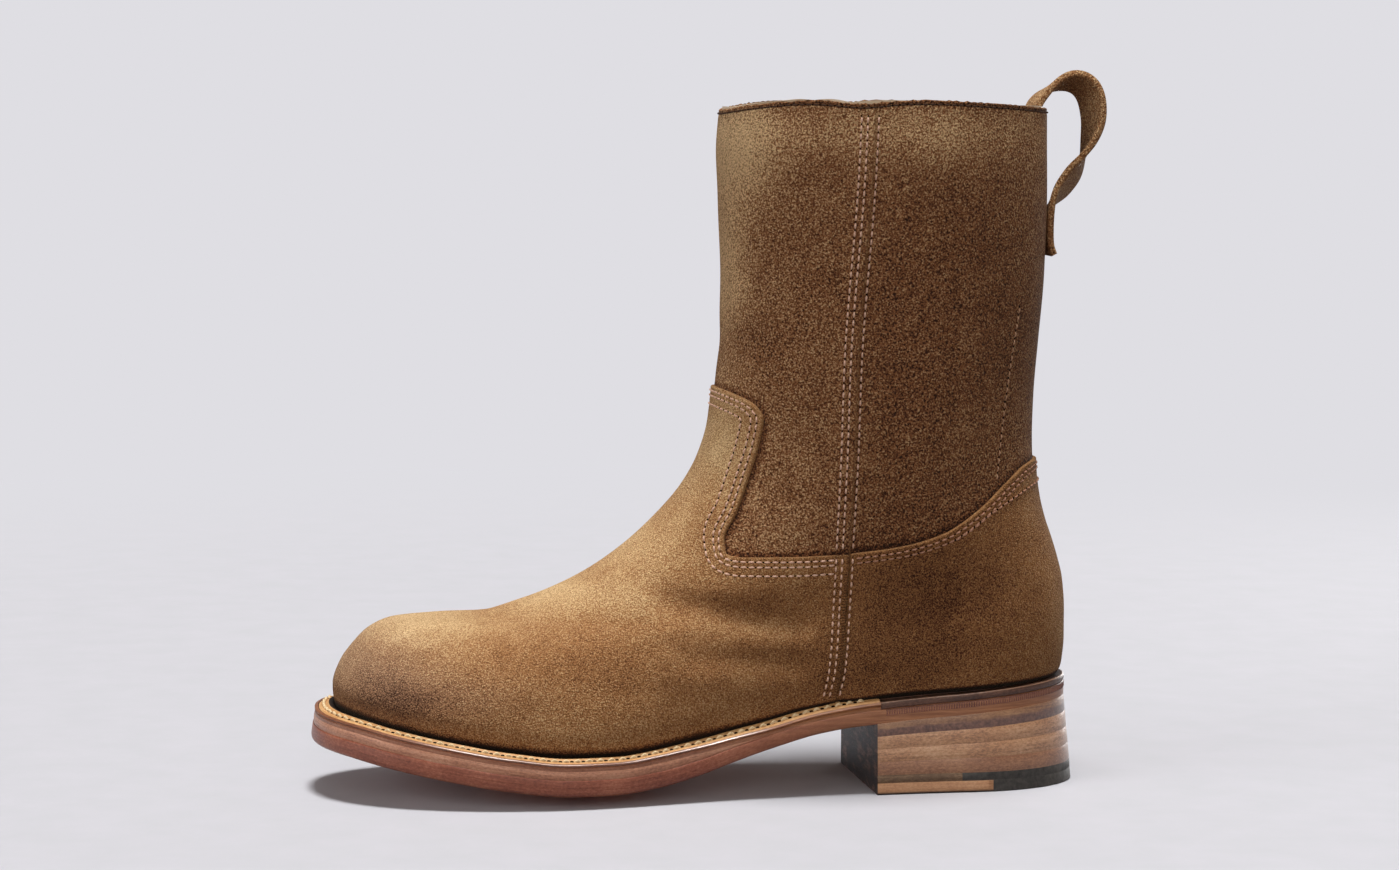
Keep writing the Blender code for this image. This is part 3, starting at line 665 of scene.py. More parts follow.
def suede(name, tints, crumb_mm, crumb_depth_mm, crumb_contrast):
    """A suede from four tints, dark to light, and the size, depth and contrast of its crumbs."""
    made = Finish(name, roughness=0.95, specular_ior_level=0.12, sheen_weight=0.12, sheen_roughness=0.45)
    made.set("Sheen Tint", SHEEN_TINT)
    clouds = made.noise(24.0, 3.0, 0.55)
    brushed = made.noise(95.0, 4.0, 0.6)
    crumbs = made.noise(1.0 / (crumb_mm * MM), 3.0, 0.6)
    pits = made.cells(0.8 / (crumb_mm * MM))
    tone = made.attribute("tone")
    shade = made.plus_share(tone, made.spread(clouds), CLOUD_SHARE)
    shade = made.plus_share(shade, made.spread(brushed), BRUSH_SHARE)
    # The crumbs' colour follows their bump: besides a random tone, it paints light on the tops and shade in
    # the pits.
    shade = made.plus_share(shade, made.spread(crumbs, 0.40, 0.60), crumb_contrast)
    shade = made.plus_share(shade, made.spread(pits, 0.15, 0.65), PIT_PAINTED_SHADE_SHARE * crumb_contrast)
    added = (CLOUD_SHARE + BRUSH_SHARE + (1 + PIT_PAINTED_SHADE_SHARE) * crumb_contrast) / 2
    level = made.math("SUBTRACT", shade, added)
    napped = made.ramp(level, tints, NAP_STOPS)
    nap_and_painted_shade = made.mix(made.spread(tone, *PAINTED_SHADE_TONES), PAINTED_SHADE_DARK, napped)
    dusty = made.mix(made.attribute("dust"), nap_and_painted_shade, DUST, "SATURATION")
    made.set("Base Color", made.mix(made.attribute("cut"), dusty, CUT_SUEDE))
    relief = made.plus_share(crumbs, pits, PIT_DEPTH)
    made.set("Normal", made.bump(relief, crumb_depth_mm))
    return made.material


shaft_suede = suede("shaft_suede", ((52, 30, 19), (80, 46, 30), (164, 110, 71), (250, 214, 163)),
                    crumb_mm=0.69, crumb_depth_mm=1.10, crumb_contrast=0.54)
vamp_suede = suede("vamp_suede", ((64, 37, 23), (92, 54, 35), (180, 128, 81), (252, 222, 169)),
                   crumb_mm=0.53, crumb_depth_mm=0.60, crumb_contrast=0.39)
print("suede finishes:", shaft_suede.name, vamp_suede.name)

# %% [markdown]
# ## Tone of the suede
# The stored tone is partly the nap's own and partly painted light and shade: lighter on the toe's top,
# the vamp's ridge, the shaft's front edge and the collar, darker in the folds and on the counter. A
# little dust greys the toe. All of it could be painted by hand, but soft patches in side view can be
# changed one by one.

# %% Tone patches
TONE, TONE_LIMITS = 0.51, (0.02, 0.98)
# Patches partly of the nap's own tone, partly of painted light and shade.
NAP_TONE_AND_LIGHT_PATCHES = table("x z wide high amount", [
    (40, 68, 34, 9, 0.31), (92, 78, 40, 8, 0.27), (126, 98, 20, 12, 0.22), (148, 124, 12, 22, 0.15),
    (16, 50, 9, 14, 0.08), (30, 50, 22, 9, -0.09), (56, 42, 14, 6, 0.04), (34, 40, 24, 6, -0.27),
    (72, 62, 8, 14, -0.06), (110, 52, 50, 14, -0.07), (164, 138, 10, 22, 0.23), (146, 80.5, 14, 4.5, -0.08),
    (166, 78, 18, 4.5, -0.08), (186, 73.5, 12, 4.5, -0.05), (178, 67.5, 18, 3.5, 0.10),
    (180, 58.5, 18, 3.5, -0.06), (196, 44, 14, 10, -0.10), (240, 76, 34, 27, -0.28),
    (280, 80, 22, 30, -0.05), (230, 48, 34, 10, -0.15), (296, 72, 7, 30, 0.04), (168, 256, 15, 20, 0.47),
    (196, 264, 26, 10, 0.12), (164, 208, 8, 34, 0.40), (172, 178, 16, 9, -0.10), (192, 226, 20, 34, -0.04),
    (250, 262, 44, 14, 0.25), (232, 180, 26, 70, -0.12), (268, 190, 26, 60, -0.10)])
DUST_PATCHES = table("x z wide high amount", [(24, 50, 24, 14, 0.17), (52, 42, 28, 9, 0.09)])


def patches_at(points, patches):
    """Sum of soft patches, placed in side view, at points of the boot."""
    total = np.zeros(points.shape[:-1])
    for x, z, wide, high, amount in zip(*patches.values()):
        total += amount * hump(points[..., 0] - x, wide) * hump(points[..., 2] - z, high)
    return total


def tone_of(points):
    """How light the suede is at points of the boot, its own tone and painted light and shade, from 0 to 1."""
    return np.clip(TONE + patches_at(points, NAP_TONE_AND_LIGHT_PATCHES), *TONE_LIMITS)


print("tone patches:", len(NAP_TONE_AND_LIGHT_PATCHES["amount"]))

# %% [markdown]
# ## Thread
# The upper is sewn with pale waxed thread, darker at the collar. On the counter the thread gets a darker
# tint as painted shade. Its fibres are too thin to model, so one recipe with two tints and a fine bump
# makes every thread.

# %% Thread finishes
def thread(name, dark, light):
    made = Finish(name, roughness=0.75, specular_ior_level=0.25)
    fibres = made.noise(2600.0, 3.0, 0.6)
    made.set("Base Color", made.ramp(fibres, (dark, light), (0.30, 0.62)))
    made.set("Normal", made.bump(fibres, 0.12))
    return made.material


# Painted shade: each needle hole is a dark lens.
def painted_hole_shade():
    made = Finish("needle_hole_shade", roughness=0.95, specular_ior_level=0.05)
    made.set("Base Color", made.ramp(made.noise(900.0), ((22, 14, 9), (44, 29, 18))))
    return made.material


upper_thread = thread("upper_thread", (214, 168, 144), (255, 218, 194))
# Painted shade: the counter's rows get a darker tint of the same thread.
counter_thread_painted_shade = thread("counter_thread_painted_shade", (152, 108, 86), (212, 162, 134))
faint_thread = thread("faint_thread", (172, 128, 100), (226, 182, 148))
collar_thread = thread("collar_thread", (46, 30, 20), (84, 58, 40))
welt_thread = thread("welt_thread", (222, 188, 136), (252, 232, 190))
needle_hole_shade = painted_hole_shade()
print("threads:", [material.name for material in bpy.data.materials if "thread" in material.name])

# %% [markdown]
# ## Stitches
# A stitch is a short thread that comes out of one hole and dives into the next. As a bump it would
# cast no shadow, so each one is a bent, tapering tube, and a whole row is worked out with arrays.

# %% One row of stitches
STITCH_SIDES, STITCH_RINGS, THREAD_TAPER = 6, 7, 0.38
LOOK_AHEAD, NEVER_ZERO = 0.2, 1e-9


def row_places(line, outward, at):
    """Points, directions and outward directions at distances along a row."""
    places = along_line(line)
    here, out = read_along(line, places, at), read_along(outward, places, at)
    out /= np.linalg.norm(out, axis=-1, keepdims=True)
    along = read_along(line, places, at + LOOK_AHEAD) - read_along(line, places, at - LOOK_AHEAD)
    along /= np.linalg.norm(along, axis=-1, keepdims=True) + NEVER_ZERO
    return here, along, out


def stitch_row(line, outward, pitch, length, thick, rise, sink):
    """Points and faces of one row of stitches, and the places of the holes between them."""
    total = along_line(line)[-1]
    count = int(total / pitch)
    starts = np.arange(count) * pitch + (total - count * pitch + pitch - length) / 2
    share = np.linspace(0, 1, STITCH_RINGS)
    here, along, out = row_places(line, outward, starts[:, None] + share[None] * length)
    bow = np.sin(math.pi * share)
    centre = here + out * (rise * bow - sink)[None, :, None]
    radius = thick / 2 * (1 - THREAD_TAPER + THREAD_TAPER * bow)
    side = np.cross(along, out)
    turn = 2 * math.pi * np.arange(STITCH_SIDES) / STITCH_SIDES
    ring = np.cos(turn)[:, None, None, None] * side + np.sin(turn)[:, None, None, None] * out
    points = centre + ring * radius[None, None, :, None]
    points = points.transpose(1, 2, 0, 3).reshape(-1, 3)
    one = skin(STITCH_RINGS, STITCH_SIDES)[:, ::-1]
    size = STITCH_RINGS * STITCH_SIDES
    faces = (one[None] + size * np.arange(count)[:, None, None]).reshape(-1, 4).tolist()
    cap = np.arange(STITCH_SIDES)
    for k in range(count):
        faces.append((cap + k * size).tolist())
        faces.append((cap[::-1] + (k + 1) * size - STITCH_SIDES).tolist())
    holes = starts - (pitch - length) / 2
    return points, faces, row_places(line, outward, holes)


print("a stitch has", STITCH_RINGS * STITCH_SIDES, "points")

# %% [markdown]
# ## Needle holes, and sewing
# Between two stitches the needle leaves a hole, dark with shade. Cutting it out would need a very fine
# mesh, so a small lens painted dark, as painted shade, lies in the leather. Sewing a list of rows makes
# two pieces: thread and holes.

# %% Sewing
HOLE_SIDES, HOLE_LIFT = 8, 0.38


def hole_lens(places, radius):
    """Small flat lenses on a row's holes: a rim, a point above it and a point below it."""
    here, along, out = places
    side = np.cross(along, out)
    turn = 2 * math.pi * np.arange(HOLE_SIDES) / HOLE_SIDES
    rim = here[:, None] + radius * (np.cos(turn)[None, :, None] * along[:, None]
                                    + np.sin(turn)[None, :, None] * side[:, None])
    lift = HOLE_LIFT * radius
    top, low = here + out * lift, here - out * lift
    points = np.concatenate([rim, top[:, None], low[:, None]], axis=1).reshape(-1, 3)
    faces = []
    for start in range(0, len(points), HOLE_SIDES + 2):
        for k in range(HOLE_SIDES):
            after = (k + 1) % HOLE_SIDES
            faces.append((start + after, start + k, start + HOLE_SIDES))
            faces.append((start + k, start + after, start + HOLE_SIDES + 1))
    return points, faces


def joined(groups):
    """One set of points and faces from several."""
    points, faces, count = [], [], 0
    for group_points, group_faces in groups:
        points.append(group_points)
        faces += [[index + count for index in face] for face in group_faces]
        count += len(group_points)
    return np.concatenate(points), faces


def sew(name, rows, finish, slot, pitch=3.15, length=2.35, thick=0.80, rise=0.60, sink=0.22, hole=0.46):
    """One piece of thread and one of holes for a list of rows."""
    threads, holes = [], []
    for line, outward in rows:
        points, faces, places = stitch_row(line, outward, pitch, length, thick, rise, sink)
        threads.append((points, faces))
        holes.append(hole_lens(places, hole))
    make_piece(name, *joined(threads), [finish], slot)
    make_piece(name + "_holes", *joined(holes), [needle_hole_shade], slot)


print("a hole has", HOLE_SIDES + 2, "points")

# %% [markdown]
# ## The shaft's lap seam and dents
# The shaft is two hides that lap at each side: the front's cut edge lies on the back, with two rows of
# stitches before it and one behind. A lap casts a real shadow, so it is a height, not a bump. Soft
# dents keep the shaft from looking turned on a lathe.

# %% Lap seam and dents
LAP_EDGE = table("z x", [
    (20, 204.6), (38.6, 206.1), (49.7, 208.2), (79.2, 210.1), (105.2, 211.2), (132.6, 212.4),
    (172.5, 213.4), (240.3, 217.9), (271.9, 219.3)])
LAP_THICK, LAP_FADES, LAP_LIP = 0.95, (-13.0, -3.0), 0.22
LAP_EDGE_SOFT, LIP_BEFORE, LIP_WIDTH, LIP_ENDS = (-0.35, 0.35), 0.9, 0.7, 0.2
SEAM_ROWS = (-5.3, -2.9, 1.3)
ROW_SINK, ROW_WIDTH = 0.26, 0.62
COLLAR_ROW, COLLAR_ROW_SINK, COLLAR_ROW_WIDTH = 1.0, 0.25, 0.75

DENTS = table("x z wide high depth", [
    (168, 178, 14, 9, 0.9), (166, 226, 10, 20, -0.5), (186, 200, 14, 26, 0.5), (184, 252, 14, 14, -0.5),
    (236, 252, 16, 16, -0.6), (256, 205, 18, 30, 0.6), (238, 150, 16, 22, -0.5), (284, 160, 10, 22, 0.5),
    (196, 140, 12, 18, 0.4), (288, 240, 8, 18, -0.4)])


def lap_station(z):
    return smooth(LAP_EDGE["z"], LAP_EDGE["x"], z)


def lap_relief(behind):
    """Height of the lap at a distance behind its edge: the front hide, its lip and the sunken rows."""
    front = LAP_THICK * ease(behind, LAP_FADES) * (1 - ease(behind, LAP_EDGE_SOFT))
    lip = LAP_LIP * hump(behind + LIP_BEFORE, LIP_WIDTH) * (behind < LIP_ENDS)
    sunk = sum(ROW_SINK * hump(behind - row, ROW_WIDTH) for row in SEAM_ROWS)
    return front + lip - sunk


def shaft_relief(points, below_rim):
    """Height of the shaft's outer side above the upper's face."""
    behind = points[..., 0] - lap_station(points[..., 2])
    collar = COLLAR_ROW_SINK * hump(below_rim - COLLAR_ROW, COLLAR_ROW_WIDTH)
    return lap_relief(behind) - patches_at(points, DENTS) - collar


print("lap edge at the collar:", round(float(lap_station(270.0)), 1))

# %% [markdown]
# ## Rows and columns of the shaft
# The whole tube is one mesh. An even net fine enough for the lap would be far too large, so columns
# crowd at the laps and rows at the rim, where the hand-cut collar swings up and down.

# %% Rows and columns
SHAFT_START, SHAFT_STEP, RIM_STEP, RIM_ZONE = 0.485, 1.25, 0.45, 6.0
FRONT_COLUMNS, BACK_COLUMNS, FINE_ROWS = 52, 66, 400
NEAR_LAP = np.concatenate([np.arange(-14, -7, 1.0), np.arange(-7, 3, 0.4), np.arange(3, 9, 1.0)])
LAP_GUESS, LAP_STEPS, SIDE_ANGLE = 1.3, 12, 1.4
RIM_WAVE = table("x width rise", [
    (158, 9, -1.6), (190, 16, 1.3), (215, 9, -0.9), (240, 22, 0.8), (294, 14, -0.6)])
RIM_WAVE_LEVELS = (0.88, 1.0)
RAGGED_WAVES = ((2.1, 1.3, 0), (3.7, -2.2, 1), (1.1, 2.9, 2))


def lap_angle(levels):
    """Angle of the lap edge at each level, on the outer side, and how fast x grows with it."""
    angle = np.full(levels.shape, LAP_GUESS)
    for _ in range(LAP_STEPS):
        here = upper_point(levels, angle)
        rate = (upper_point(levels, angle + SMALL_STEP)[:, 0] - here[:, 0]) / SMALL_STEP
        angle = angle + (lap_station(here[:, 2]) - here[:, 0]) / rate
    return angle, rate


def shaft_levels():
    """Levels of the shaft's rows, with finer steps near the rim, and their distances below it."""
    fine = np.linspace(SHAFT_START, 1, FINE_ROWS)
    up = along_line(upper_point(fine, SIDE_ANGLE))
    steps = np.concatenate([np.arange(0, up[-1] - RIM_ZONE, SHAFT_STEP),
                            np.arange(up[-1] - RIM_ZONE, up[-1], RIM_STEP), [up[-1]]])
    return np.interp(steps, up, fine), up[-1] - steps


def shaft_angles(levels):
    """Angles of the shaft's columns at each level, crowded at the two laps."""
    angle, rate = lap_angle(levels)
    near = angle[:, None] + NEAR_LAP[None] / rate[:, None]
    front = near[:, :1] * np.linspace(0, 1, FRONT_COLUMNS, endpoint=False)[None]
    back = near[:, -1:] + (math.pi - near[:, -1:]) * np.linspace(0, 1, BACK_COLUMNS)[None, 1:]
    outer_side = np.concatenate([front, near, back], axis=1)
    inner_side = 2 * math.pi - outer_side[:, -2:0:-1]
    return np.concatenate([outer_side, inner_side], axis=1)


def waves_at(x, waves):
    """Sum of soft waves along the boot."""
    return sum(rise * hump(x - place, width) for place, width, rise in zip(*waves.values()))


def rim_wave(points, level):
    """How far the collar's edge swings up or dips."""
    return waves_at(points[..., 0], RIM_WAVE) * ease(level, RIM_WAVE_LEVELS)


def ragged(points):
    """Small uneven steps of a cut suede edge."""
    x, y = points[..., 0], points[..., 1]
    return sum(np.sin(by_x * x + by_y * y + start) for by_x, by_y, start in RAGGED_WAVES) / len(RAGGED_WAVES)


print("rows of the shaft:", len(shaft_levels()[0]))

# %% [markdown]
# ## The shaft
# The tube is skinned from outer rows, a rim and a few inner rows. A modifier could give it thickness,
# but the rim is rounded and ragged. Painted shade darkens the nap under the rim and on the rim itself,
# and cut edges are paler.

# %% Shaft
SHAFT_WALL, SHAFT_INNER_ROWS, RIM_TURNS, RIM_RAGGED = 1.3, 10, 7, 0.45
PAINTED_COLLAR_SHADE, PAINTED_COLLAR_SHADE_HIGH = 0.34, 1.3
RIM_CUT, LAP_CUT, LAP_CUT_BEFORE, LAP_CUT_WIDTH = 0.12, 0.5, 0.1, 0.35


def make_shaft():
    levels, below_rim = shaft_levels()
    angles = shaft_angles(levels)
    face = upper_point(levels[:, None], angles)
    outward = upper_outward(levels[:, None], angles)
    outer = face + outward * shaft_relief(face, below_rim[:, None])[..., None]
    outer[..., 2] += rim_wave(face, levels[:, None])
    turn = np.linspace(0, math.pi, RIM_TURNS)[1:-1]
    top, across = outer[-1], outward[-1]
    lift = (SHAFT_WALL / 2 + RIM_RAGGED * ragged(face[-1]))[:, None] * np.array([0, 0, 1.0])
    rim = [top - across * SHAFT_WALL / 2 * (1 - math.cos(t)) + lift * math.sin(t) for t in turn]
    picks = np.linspace(len(levels) - 1, 0, SHAFT_INNER_ROWS).astype(int)
    inner = [outer[k] - outward[k] * SHAFT_WALL for k in picks]
    rows = np.concatenate([outer, rim, inner])
    faces = skin(len(rows), rows.shape[1], True)[:, ::-1]
    piece = make_piece("shaft", rows.reshape(-1, 3), faces, [shaft_suede], "suede_shaft", ["upper"])
    on_rim = slice(len(outer), len(outer) + len(rim))
    tone, cut = tone_of(rows), np.zeros(rows.shape[:-1])
    # Painted shade under the rim and on the rim itself.
    tone[:len(outer)] -= PAINTED_COLLAR_SHADE * hump(below_rim, PAINTED_COLLAR_SHADE_HIGH)[:, None]
    tone[on_rim] -= PAINTED_COLLAR_SHADE
    behind = outer[..., 0] - lap_station(outer[..., 2])
    cut[:len(outer)] = LAP_CUT * hump(behind + LAP_CUT_BEFORE, LAP_CUT_WIDTH)
    cut[on_rim] = RIM_CUT
    note(piece, "tone", tone.ravel())
    note(piece, "cut", cut.ravel())


make_shaft()

# %% [markdown]
# ## Outlines of the panels
# The vamp and the heel counter are finer suede, sewn on top of the shaft. Their outlines are drawn in
# side view, as a cutter would, because they can then be compared with a picture.

# %% Outlines
VAMP_EDGE = table("x z", [
    (140.0, 161.2), (160.0, 160.4), (169.0, 157.8), (175.6, 153.9), (178.0, 149.0), (176.6, 140.0),
    (172.8, 127.0), (167.6, 112.5), (162.4, 101.2), (162.8, 96.6), (168.5, 95.2), (190.0, 95.5),
    (211.0, 96.6)])
COUNTER_EDGE = table("x z", [
    (211.3, 96.6), (231.0, 99.1), (248.0, 103.8), (263.0, 113.0), (275.4, 123.4), (284.0, 129.2),
    (296.0, 131.6), (316.0, 132.4)])
SEAM_TOP, SEAM_LOW, SEAM_POINTS, BUTT_GAP = 96.6, 30.0, 40, 0.12
OUTLINE_STEP, LEAST_OFFSET, ROUND_OFF = 0.5, 0.97, 1e-6


def seam_line(shift):
    """The side seam down from the panels' upper edges, in side view."""
    z = np.linspace(SEAM_TOP, SEAM_LOW, SEAM_POINTS)
    return stacked(lap_station(z) + shift, z)


def moved_right(line, distance):
    """A side-view line moved to the right of its own direction, cleared of its own loops."""
    along = np.gradient(line, axis=0)
    along /= np.linalg.norm(along, axis=1, keepdims=True)
    moved = line + distance * stacked(along[:, 1], -along[:, 0])
    gaps = np.linalg.norm(moved[:, None] - line[None], axis=-1).min(axis=1)
    return moved[gaps > LEAST_OFFSET * distance - ROUND_OFF]


VAMP_TOP, COUNTER_TOP = smooth_line(VAMP_EDGE, OUTLINE_STEP), smooth_line(COUNTER_EDGE, OUTLINE_STEP)
VAMP_LINE = respace(np.vstack([VAMP_TOP, seam_line(0.0)]), OUTLINE_STEP)
COUNTER_LINE = respace(np.vstack([seam_line(BUTT_GAP)[::-1], COUNTER_TOP]), OUTLINE_STEP)
print("vamp edge is", round(float(along_line(VAMP_LINE)[-1])), "mm long on each side")

# %% [markdown]
# ## Lines laid on the upper
# A side-view line is found on the upper's face point by point. Over the front and the back the face
# turns away from the side, so there the line is carried across by its height instead.

# %% Lines on the upper
FRONT, BACK = 0.0, math.pi
CLEAR_OF_OUTLINE, NEAR_END = 2.2, 60
LANE_STEP, BRIDGE_RADIUS = 1.1, 55.0
BRIDGE_LEVEL, BRIDGE_STEPS, BRIDGE_REACH = 0.6, 25, 0.03
HIGHEST_LEVEL, OUTLINE_LEVELS = 0.999, np.linspace(0.02, 0.98, 160)


def cross_over(line, from_angle, middle):
    """Carry a side-view line over the front or the back of the upper, where x hardly changes."""
    steps = max(3, int(abs(from_angle - middle) * BRIDGE_RADIUS / LANE_STEP))
    angle = np.linspace(from_angle, middle, steps + 1)[1:]
    ordered = line[np.argsort(line[:, 0])]
    level = np.full(angle.shape, BRIDGE_LEVEL)
    for _ in range(BRIDGE_STEPS):
        here = upper_point(level, angle)
        rate = (upper_point(level + SMALL_STEP, angle)[:, 2] - here[:, 2]) / SMALL_STEP
        want = np.interp(here[:, 0], ordered[:, 0], ordered[:, 1])
        step = np.clip((want - here[:, 2]) / rate, -BRIDGE_REACH, BRIDGE_REACH)
        level = np.clip(level + step, 0.0, HIGHEST_LEVEL)
    return stacked(angle, level)


def lay_line(line, over, side, step):
    """Angle and level of a side-view line on one side, starting at the middle of the front or back."""
    edge = upper_point(OUTLINE_LEVELS, over)
    outline = np.interp(line[:, 1], np.maximum.accumulate(edge[:, 2]), edge[:, 0])
    inside = line[:, 0] - outline if over == FRONT else outline - line[:, 0]
    free = line[(inside > CLEAR_OF_OUTLINE) & (line[:, 1] > SEAM_LOW)]
    free = respace(free, step)
    level, angle = find_on_upper(free[:, 0], free[:, 1], side)
    laid = stacked(angle, level)
    if over == FRONT:
        bridge = cross_over(line[:NEAR_END], laid[0, 0], FRONT)
        return np.vstack([bridge[::-1], laid])
    laid[:, 0] = laid[:, 0] % (2 * math.pi)
    bridge = cross_over(line[-NEAR_END:], laid[-1, 0], BACK)
    return np.vstack([bridge[::-1], laid[::-1]])


def on_upper(laid):
    return upper_point(laid[:, 1], laid[:, 0])


trial = on_upper(lay_line(VAMP_LINE, FRONT, 1, 1.0))
print("vamp edge runs from", trial[0].round(1).tolist(), "to", trial[-1].round(1).tolist())

# %% [markdown]
# ## Filling an outline
# A panel could be cut out of the upper with a boolean, but its edge would be ragged. Instead the
# outline is filled with lanes along the edge and an even field, and Blender joins them to triangles.

# %% Filling an outline
ANGLE_SCALE, LEVEL_SCALE, MERGE_WITHIN, TINY = 60.0, 320.0, 1e-7, 1e-12
LANES = (0.12, 0.3, 0.6, 1.0, 1.45, 1.9, 2.4, 2.9, 3.4, 3.9, 4.4, 5.3, 6.2, 6.8, 7.3, 7.8, 8.6)
FIELD_STEP, ROW_PITCH, FIELD_CLEAR, MEASURED_BESIDE = 1.9, 0.87, 0.6, 0.9
FINE_LEVELS, FINE_ANGLES = 300, 500


def inside_loop(points, loop):
    """True for the points inside a closed loop, by counting crossings."""
    inside = np.zeros(len(points), bool)
    for start, end in zip(loop, np.roll(loop, -1, axis=0)):
        crosses = (start[1] > points[:, 1]) != (end[1] > points[:, 1])
        rise = end[1] - start[1]
        share = (points[:, 1] - start[1]) / (rise if abs(rise) > TINY else TINY)
        inside ^= crosses & (points[:, 0] < start[0] + share * (end[0] - start[0]))
    return inside


def near_tree(points):
    tree = KDTree(len(points))
    for k, point in enumerate(points):
        tree.insert(point, k)
    tree.balance()
    return tree


def distances(points, tree):
    return np.array([tree.find(point)[2] for point in points])


def field_points(loop, step):
    """Evenly spread points of the upper inside a loop of angles and levels."""
    middle = loop[:, 0].mean()
    fine = np.linspace(loop[:, 1].min(), loop[:, 1].max(), FINE_LEVELS)
    up = along_line(upper_point(fine, middle + MEASURED_BESIDE))
    rows = np.interp(np.arange(step, up[-1], step * ROW_PITCH), up, fine)
    made = []
    for number, level in enumerate(rows):
        angles = np.linspace(loop[:, 0].min(), loop[:, 0].max(), FINE_ANGLES)
        around = along_line(upper_point(level, angles))
        at = np.arange((number % 2) * step / 2, around[-1], step)
        made.append(stacked(np.interp(at, around, angles), level))
    made = np.concatenate(made)
    return made[inside_loop(made, loop)]


def fill(loop, lanes, edge_tree):
    """Triangles over a loop: its own points, the lanes along its edge and a field in its middle."""
    lane_points = np.concatenate(lanes)
    lane_points = lane_points[inside_loop(lane_points, loop)]
    field = field_points(loop, FIELD_STEP)
    field = field[distances(on_upper(field), edge_tree) > LANES[-1] + FIELD_CLEAR * FIELD_STEP]
    points = np.concatenate([loop, lane_points, field])
    flat = [Vector((a * ANGLE_SCALE, b * LEVEL_SCALE)) for a, b in points]
    ring = [(k, (k + 1) % len(loop)) for k in range(len(loop))]
    places, _, faces, *_ = delaunay_2d_cdt(flat, ring, [], 1, MERGE_WITHIN)
    places = np.array([(p[0] / ANGLE_SCALE, p[1] / LEVEL_SCALE) for p in places])
    return places, [list(face) for face in faces]


print("lanes along a cut edge:", len(LANES))

# %% [markdown]
# ## Folds in the vamp
# Suede that has been walked in keeps soft folds under the ankle, where the foot bends. Sculpting could
# press them in. Here they are short troughs and ridges in side view, weaker on the inner side.

# %% Folds
FOLDS = table("x0 z0 x1 z1 width depth", [
    (140, 77.2, 191, 69.0, 6.2, 2.3), (148, 56, 192, 53.5, 5.5, 1.3), (66, 72, 78, 56, 9.0, 0.6),
    (96, 62, 130, 64, 10.0, -0.4), (116, 46, 144, 42, 8.0, 0.6), (150, 100, 156, 88, 6.0, 0.4)])
INNER_SHARE = 0.7


def fold_depth(points):
    depth = np.zeros(len(points))
    for k, amount in enumerate(FOLDS["depth"]):
        start = np.array([FOLDS["x0"][k], FOLDS["z0"][k]])
        along = np.array([FOLDS["x1"][k], FOLDS["z1"][k]]) - start
        place = points[:, [0, 2]] - start
        share = np.clip(place @ along / (along @ along), 0, 1)
        off = np.linalg.norm(place - share[:, None] * along, axis=1)
        depth += amount * hump(off, FOLDS["width"][k])
    return depth * np.where(points[:, 1] < 0, 1.0, INNER_SHARE)


print("folds:", len(FOLDS["depth"]))

# %% [markdown]
# ## Panel heights
# A panel has a rolled edge, troughs under its thread, and places where it sinks or folds. All of that
# is one height above the upper's face. The stitches use it again, so thread and leather always meet.

# %% Panel heights
PANEL_GAP, PANEL_LIFT, PANEL_THICK, PANEL_ROLL, COUNTER_SINK = 0.12, 0.02, 1.35, 0.6, 0.55
ROWS_FROM_SEAM, ROWS_FROM_EDGE = (2.5, 5.0), (0.4, 1.2)
SINK_FADES, FOLD_FADES = (0.0, 7.0), (0.0, 6.0)
SEAM_TREE_LOW, SEAM_TREE_POINTS = SEAM_LOW + 2, 160


def panel_edges(line, top_line, over):
    """Both sides of the edge, and search trees for all of it, its upper part and its side seam."""
    outer, inner = (lay_line(line, over, side, LANE_STEP) for side in (1, -1))
    every = np.vstack([on_upper(outer), on_upper(inner)])
    top = np.vstack([on_upper(lay_line(top_line, over, side, OUTLINE_STEP)) for side in (1, -1)])
    z = np.linspace(SEAM_TOP, SEAM_TREE_LOW, SEAM_TREE_POINTS)
    seam = np.vstack([upper_point(*find_on_upper(lap_station(z), z, side)) for side in (1, -1)])
    return outer, inner, near_tree(every), near_tree(top), near_tree(seam)


def height_maker(trees, rows, seam_offsets, seam_sink, folded):
    """A function for the height of a panel's outer side: its rolled edge, sunken rows and folds."""
    every, top, seam = trees

    def height_at(face):
        inside, below, beside = (distances(face, tree) for tree in (every, top, seam))
        roll = np.sqrt(1 - (1 - np.clip(inside / PANEL_ROLL, 0, 1)) ** 2)
        sunk = sum(ROW_SINK * hump(below - row, ROW_WIDTH) for row in rows) * ease(beside, ROWS_FROM_SEAM)
        sunk = sunk + sum(ROW_SINK * hump(beside - row, ROW_WIDTH) for row in seam_offsets)
        height = PANEL_GAP + PANEL_LIFT + PANEL_THICK * roll - sunk * ease(inside, ROWS_FROM_EDGE)
        height = height - seam_sink * (1 - ease(beside, SINK_FADES)) * roll
        return height - folded * fold_depth(face) * ease(inside, FOLD_FADES)

    return height_at


print("a panel stands", PANEL_GAP + PANEL_LIFT + PANEL_THICK, "mm over the shaft")

# %% [markdown]
# ## The two panels
# Each panel is a closed piece: an outer side, an under side and a wall along the border. A modifier
# could thicken a sheet, but not thin its edge. Painted shade darkens the nap in the gap above the welt.

